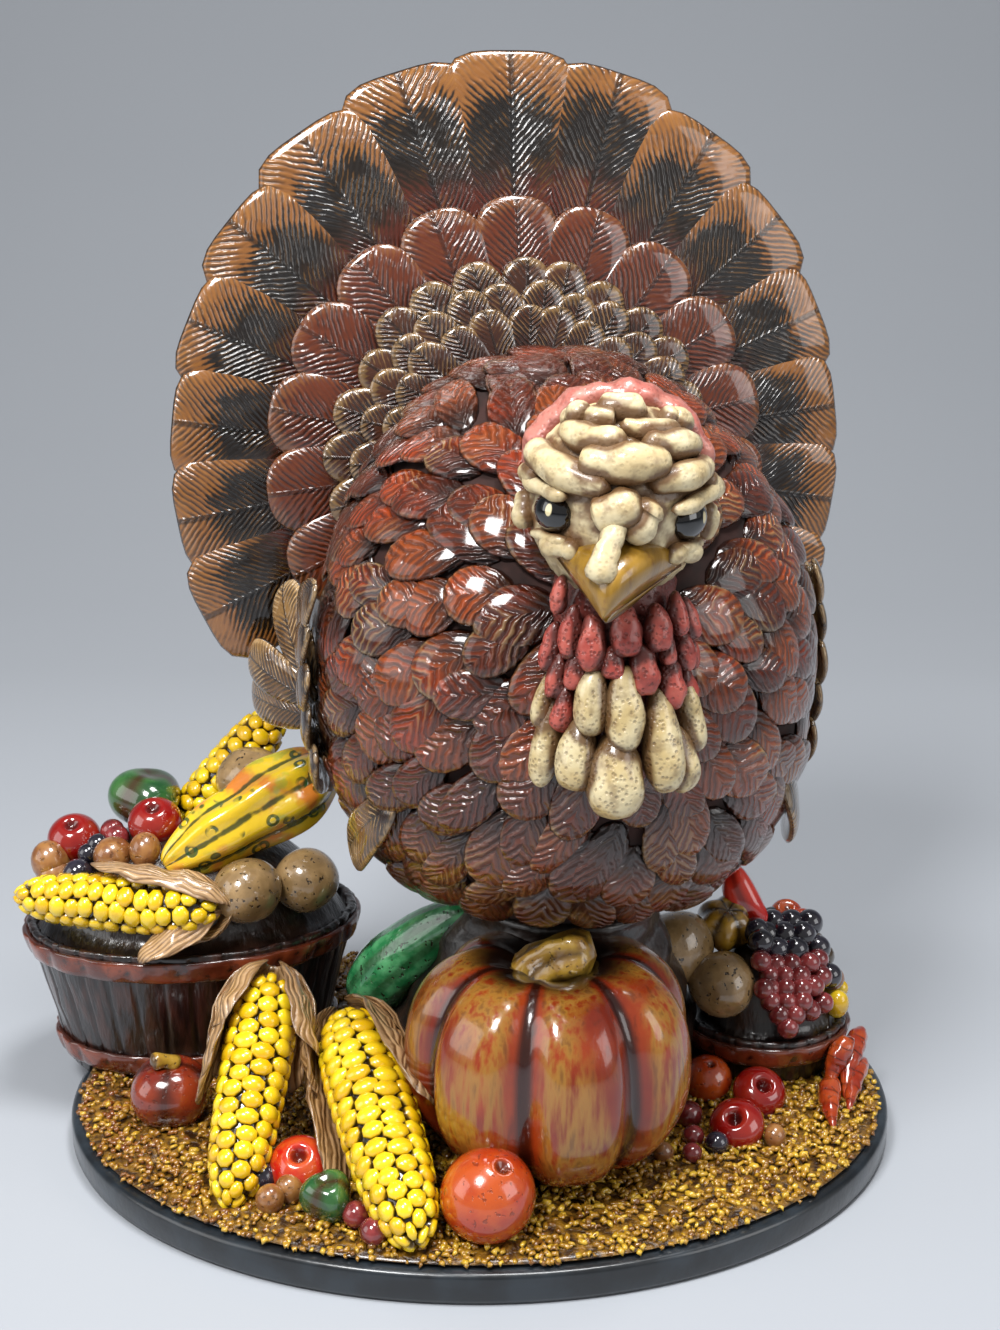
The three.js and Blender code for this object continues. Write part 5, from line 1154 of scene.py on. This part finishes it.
rise, around = np.linspace(-90, 90, 72)[:, None], np.linspace(0, 360, 120, endpoint=False)[None]
face = skull(around + 0 * rise, rise + 0 * around)
way = unit(face)
sockets = sum(np.exp(-((1 - way @ unit(skull(b, r))) / 0.035)) for _, b, r in EYES)
face = face * (1 - 0.12 * sockets[..., None])

path = np.linspace([0, 2, -8], [0, -1, -78], 16)[None]
girth = np.interp(np.linspace(0, 1, 16), [0, 0.15, 0.5, 0.9, 1], [0, 15, 16.5, 15.5, 0])[None]
points, _ = tubes(on_head(path), girth, (0, -1, 0), 32)
points = dented(points, on_head(path), 0.8, 9, 6)
# painted shade: a fixed facing of -0.2 darkens the whole neck, as it stands in shadow under the head
put("neck_skin", "turkey", "flesh_glaze", flesh_finish, points, ["neck"], facing=np.full((1, 1, 1), -0.2))


def folds(name, slot, finish, rows, replaces=(), proud=0.25):
    """Sausages of skin laid on the head, from one bearing and rise to another, with their radius."""
    rows = np.array(rows, float)
    u = np.linspace(0, 1, 16)[None, :]
    bearing = rows[:, 0, None] + (rows[:, 2] - rows[:, 0])[:, None] * u
    rise = rows[:, 1, None] + (rows[:, 3] - rows[:, 1])[:, None] * u
    radius = rows[:, 4, None] * 1.12
    path = skull(bearing, rise, proud * radius + 0.5 * np.sin(9 * u + rows[:, 1, None]))
    out = head_way(unit(path))
    girth = radius * sausage(16, 4.0)[None] * (1 + 0.08 * np.sin(14 * u + rows[:, :1]))
    points, facing = tubes(on_head(path), girth, out, 16)
    # painted shade: the facing kept on the folds is lowered where they lie close to the head or to another
    # fold, so the skin finish darkens there
    under = near(points, on_head(face), 2.0)
    put(name, "turkey", slot, finish, points, replaces,
        facing=facing - 1.9 * np.maximum(touch(points, 2.2), under * 0.7))
    return points


laid = folds("brow_folds", "cream_glaze", cream_finish,
             [(-4, 52, 56, 44, 2.6), (13, 40, 69, 33, 3.4), (-54, 45, 3, 38, 3.6), (-31, 27, 30, 27, 4.6),
              (-82, 30, -8, 13, 3.8), (14, 16, 76, 20, 3.3), (66, 14, 84, 2, 2.8), (-20, -3, 11, 7, 4.4),
              (3, -14, 18, 7, 3.6), (-42, 53, -7, 57, 3.2), (-40, 66, 36, 64, 3.6), (-70, 52, -40, 60, 3.0),
              (50, 58, 80, 44, 3.0), (-86, 14, -60, 16, 2.8), (-90, 2, -78, -16, 2.8), (84, -4, 92, -24, 2.8),
              (-60, -20, -28, -22, 2.4), (30, -24, 66, -26, 2.4)],
             ["forehead_folds"])
wrinkled = on_head(face + way * (0.35 * lumps(face, 3.5, 31))[..., None])
# painted shade: the facing kept on the skin is lowered in the eye sockets and beside the folds, so its finish
# darkens there
put("head_skin", "turkey", "cream_glaze", cream_finish, wrinkled[None], ["head"],
    facing=(0.45 + 0.3 * lumps(face, 3.5, 31) - sockets * 1.2 - 1.3 * near(wrinkled, laid, 1.7))[None])
folds("eyelids", "cream_glaze", cream_finish,
      [(28, 0, 80, 6, 2.0), (-78, 12, -34, 7, 1.9), (34, -21, 76, -24, 1.4), (-72, -17, -36, -17, 1.4)],
      proud=0.5)
lean = np.radians(np.linspace(-78, 78, 40))[None]
path = np.stack([22.6 * np.sin(lean), 2 + 0 * lean, 24.2 * np.cos(lean)], -1)
girth = 5.0 * sausage(40, 8.0)[None] * (1 + 0.1 * np.sin(lean * 11) + 0.07 * np.sin(lean * 23))
points, facing = tubes(on_head(path), girth, head_way(unit(path)), 22, 0.8)
points = dented(points, on_head(path), 0.4, 6, 21)
put("pink_rim", "turkey", "flesh_glaze", rim_finish, points, ["crown_rim"], facing=facing)

for name, bearing, rise in EYES:
    at, out = skull(bearing, rise, -1.6), unit(skull(bearing, rise))
    points, skin, _ = plump(on_head(at), head_way(out), 8.0, 6.0, out=(0, 0, 1), flat=0.85, rings=20,
                            turns=32)
    put("black_" + name, "turkey", "eye_glaze", eye, points, [name], skin=skin)


def bill(name, node, bearing, brow, corners, mouth, tip, over, under):
    """Half of the beak: a shield from a curved base on the head to a tip. Its base runs from the left corner,
    over the brow's rise, to the right corner, and back along the mouth. The upper side is a curve of second
    degree from the base to the tip, pushed out by over towards the middle, and the underside is the same,
    pushed by under."""
    a = np.concatenate([np.linspace(-1, 1, 25), np.linspace(1, -1, 17)[1:-1]])[None]
    upper = (np.arange(a.size) < 25)[None, :, None]
    b = np.linspace(0, 1, 18)[:, None, None]
    side = np.where(a < 0, corners[0], corners[1])
    line = (corners[0] + corners[1]) / 2 + (corners[1] - corners[0]) / 2 * a
    rise = np.where(upper[..., 0], brow * (1 - a ** 2) + side * a ** 2, line - mouth * (1 - a ** 2))
    base = skull(bearing[0] + (bearing[1] - bearing[0]) * (a + 1) / 2, rise, 0.4)
    push = np.where(upper, over, under) * (1 - a ** 2)[..., None]
    middle = (base + tip) / 2 + push
    points = (1 - b) ** 2 * base + 2 * b * (1 - b) * middle + b ** 2 * np.asarray(tip, float)
    inner = base * 0.55 + 0.45 * np.array([0, -8.0, -14])
    points = np.concatenate([0 * inner + inner.mean(1, keepdims=True), inner, points])
    facing = np.where(upper[..., 0], 0.8 - 1.5 * np.abs(a) ** 8, -0.9) + np.zeros((len(points), 1))
    put(name, "turkey", "beak_glaze", beak, on_head(points)[None], [node], facing=facing[None])


bill("upper_mandible", "upper_beak", (-52, 56), -15, (-28, -36), 8, (-5.5, -34, -24), (0, -12.0, 4.0),
     (0, -1.0, 1.0))
bill("lower_mandible", "lower_beak", (-38, 44), -38, (-38, -42), 14, (-4.5, -29, -26), (0, -1.0, 0),
     (0, -3.0, -3.0))

u = np.linspace(0, 1, 16)
path = bezier(np.array([[[-1, -24.5, -1], [-3, -30, -4], [-5.5, -33, -9], [-6.8, -33.4, -15.5]]]), 16)
girth = np.interp(u, [0, 0.08, 0.5, 0.85, 0.96, 1], [0, 2.8, 3.1, 3.8, 2.8, 0])[None]
points, facing = tubes(on_head(path), girth, head_way(np.array([0, -1.0, 0.2])), 20)
points = dented(points, on_head(path), 0.35, 4, 2)
put("hanging_snood", "turkey", "cream_glaze", cream_finish, points, ["snood"], facing=facing)


def drops(name, slot, finish, rows, radius, replaces):
    """Drops that hang on the front of the neck: bodies that widen towards their lower end, at an angle round
    the neck and a height below the head's middle, with their width and length."""
    rows = np.array(rows, float)
    a = np.radians(rows[:, 0])
    at = np.stack([radius * np.sin(a), -radius * np.cos(a), rows[:, 1]], -1)
    along = np.stack([0.22 * np.sin(a), -0.14 * np.cos(a), -np.ones_like(a)], -1)
    points, _, _ = plump(on_head(at), head_way(along), rows[:, 3] * 1.12, rows[:, 2] * 0.4, rows[:, 2] * 0.66,
                         out=head_way(np.array([0, 1.0, 0])), full=2.3, rings=16, turns=20, uneven=0.4)
    # painted shade: facing is low on the side towards the neck and where drops touch one another, so their
    # finishes darken there
    facing = ((points - on_head(at)[:, None, None]) * unit(head_way(at * [1, 1, 0]))[:, None, None]).sum(-1)
    facing = facing / (rows[:, 2] * 0.55)[:, None, None] - 1.7 * touch(points, 2.1)
    put(name, "turkey", slot, finish, points, replaces, facing=facing)


drops("red_drops", "flesh_glaze", flesh_finish,
      [(-50, -23, 4.2, 9), (-39, -32, 5.2, 12), (-60, -37, 5.2, 12), (-21, -34, 6.8, 13), (4, -30.5, 7.4, 12),
       (29, -30.4, 7, 11), (50, -28, 5.2, 10), (72, -31, 5, 10), (-52, -44, 5.4, 11), (-34, -41.5, 5.4, 9),
       (-5, -38.7, 5.4, 8), (18, -40.5, 7.4, 12), (38, -36, 4.6, 8), (61, -38, 5.4, 10), (82, -40, 5, 9),
       (44, -45.3, 6.6, 12), (-45, -52, 5.8, 11), (70, -48, 5.4, 11), (-72, -48, 5, 10), (-88, -40, 5, 10)],
      19.0, ["red_wattle"])
drops("cream_lobes", "cream_glaze", lobe_finish,
      [(-63, -51, 5.6, 14), (-59, -61, 7.4, 22), (-20, -48.4, 8, 16), (-30, -63, 10, 17), (3.5, -50, 9, 20),
       (-2, -67.5, 13.5, 20), (33, -59.5, 10, 24), (69, -55, 7, 20), (55, -66, 8, 16)],
      20.0, ["cream_dewlap"])


# Floor, light and camera

def backdrop(name, finish):
    """A sheet that lies flat as a floor and curves up behind into a wall."""
    bend = np.radians(np.linspace(0, 90, 13))
    run = np.concatenate([[-6], 0.5 + 0.9 * np.sin(bend), [1.4]])
    rise = np.concatenate([[0], 0.9 - 0.9 * np.cos(bend), [5]]) - 0.0003
    x = np.array([-6.0, 6.0])
    places = np.stack(np.broadcast_arrays(x, run[:, None], rise[:, None]), -1).reshape(-1, 3)
    row = 2 * np.arange(len(run) - 1)[:, None]
    mesh = bpy.data.meshes.new(name)
    mesh.from_pydata(places, [], (row + [0, 1, 3, 2]).tolist(), shade_flat=False)
    mesh.materials.append(finish.material)
    sheet = bpy.data.objects.new(name, mesh)
    bpy.context.scene.collection.objects.link(sheet)


pale = Finish("pale floor", 0.0)
backdrop("floor", pale.done(pale.mix(pale.noise(300, 2.0) * 0.3, "a3a7ad", "989da4"), 0.8))


def lamp(name, at, aim, size, watts):
    """A soft square lamp at a place, turned towards another."""
    light = bpy.data.lights.new(name, "AREA")
    light.size, light.energy = size, watts
    piece = bpy.data.objects.new(name, light)
    bpy.context.scene.collection.objects.link(piece)
    piece.location = at
    away = Vector(at) - Vector(aim)
    piece.rotation_euler = away.to_track_quat("Z", "Y").to_euler()


lamp("key", (-0.35, -0.6, 1.0), (0, 0, 0.15), 0.3, 13)
lamp("top", (0.15, -0.15, 1.15), (0, 0, 0.12), 0.3, 10)
lamp("right_fill", (0.9, -0.5, 0.5), (0, 0, 0.15), 0.6, 3)
lamp("left_fill", (-0.9, -0.3, 0.45), (0, 0, 0.15), 0.6, 2.5)
world = bpy.data.worlds.new("studio")
world.use_nodes = True
world.node_tree.nodes["Background"].inputs["Color"].default_value = (1, 1, 1, 1)
world.node_tree.nodes["Background"].inputs["Strength"].default_value = 0.3
bpy.context.scene.world = world

camera = bpy.data.cameras.new("camera")
camera.sensor_width = 36
camera.lens = camera.sensor_width * FOCAL_PIXELS / PICTURE_PIXELS
view = bpy.data.objects.new("camera", camera)
bpy.context.scene.collection.objects.link(view)
view.location = (0.0062, -0.5354, 0.2988)
view.rotation_euler = (np.radians(90 - 16), 0, 0)  # 16 degrees down
bpy.context.scene.camera = view
bpy.context.scene.view_settings.view_transform = "Standard"
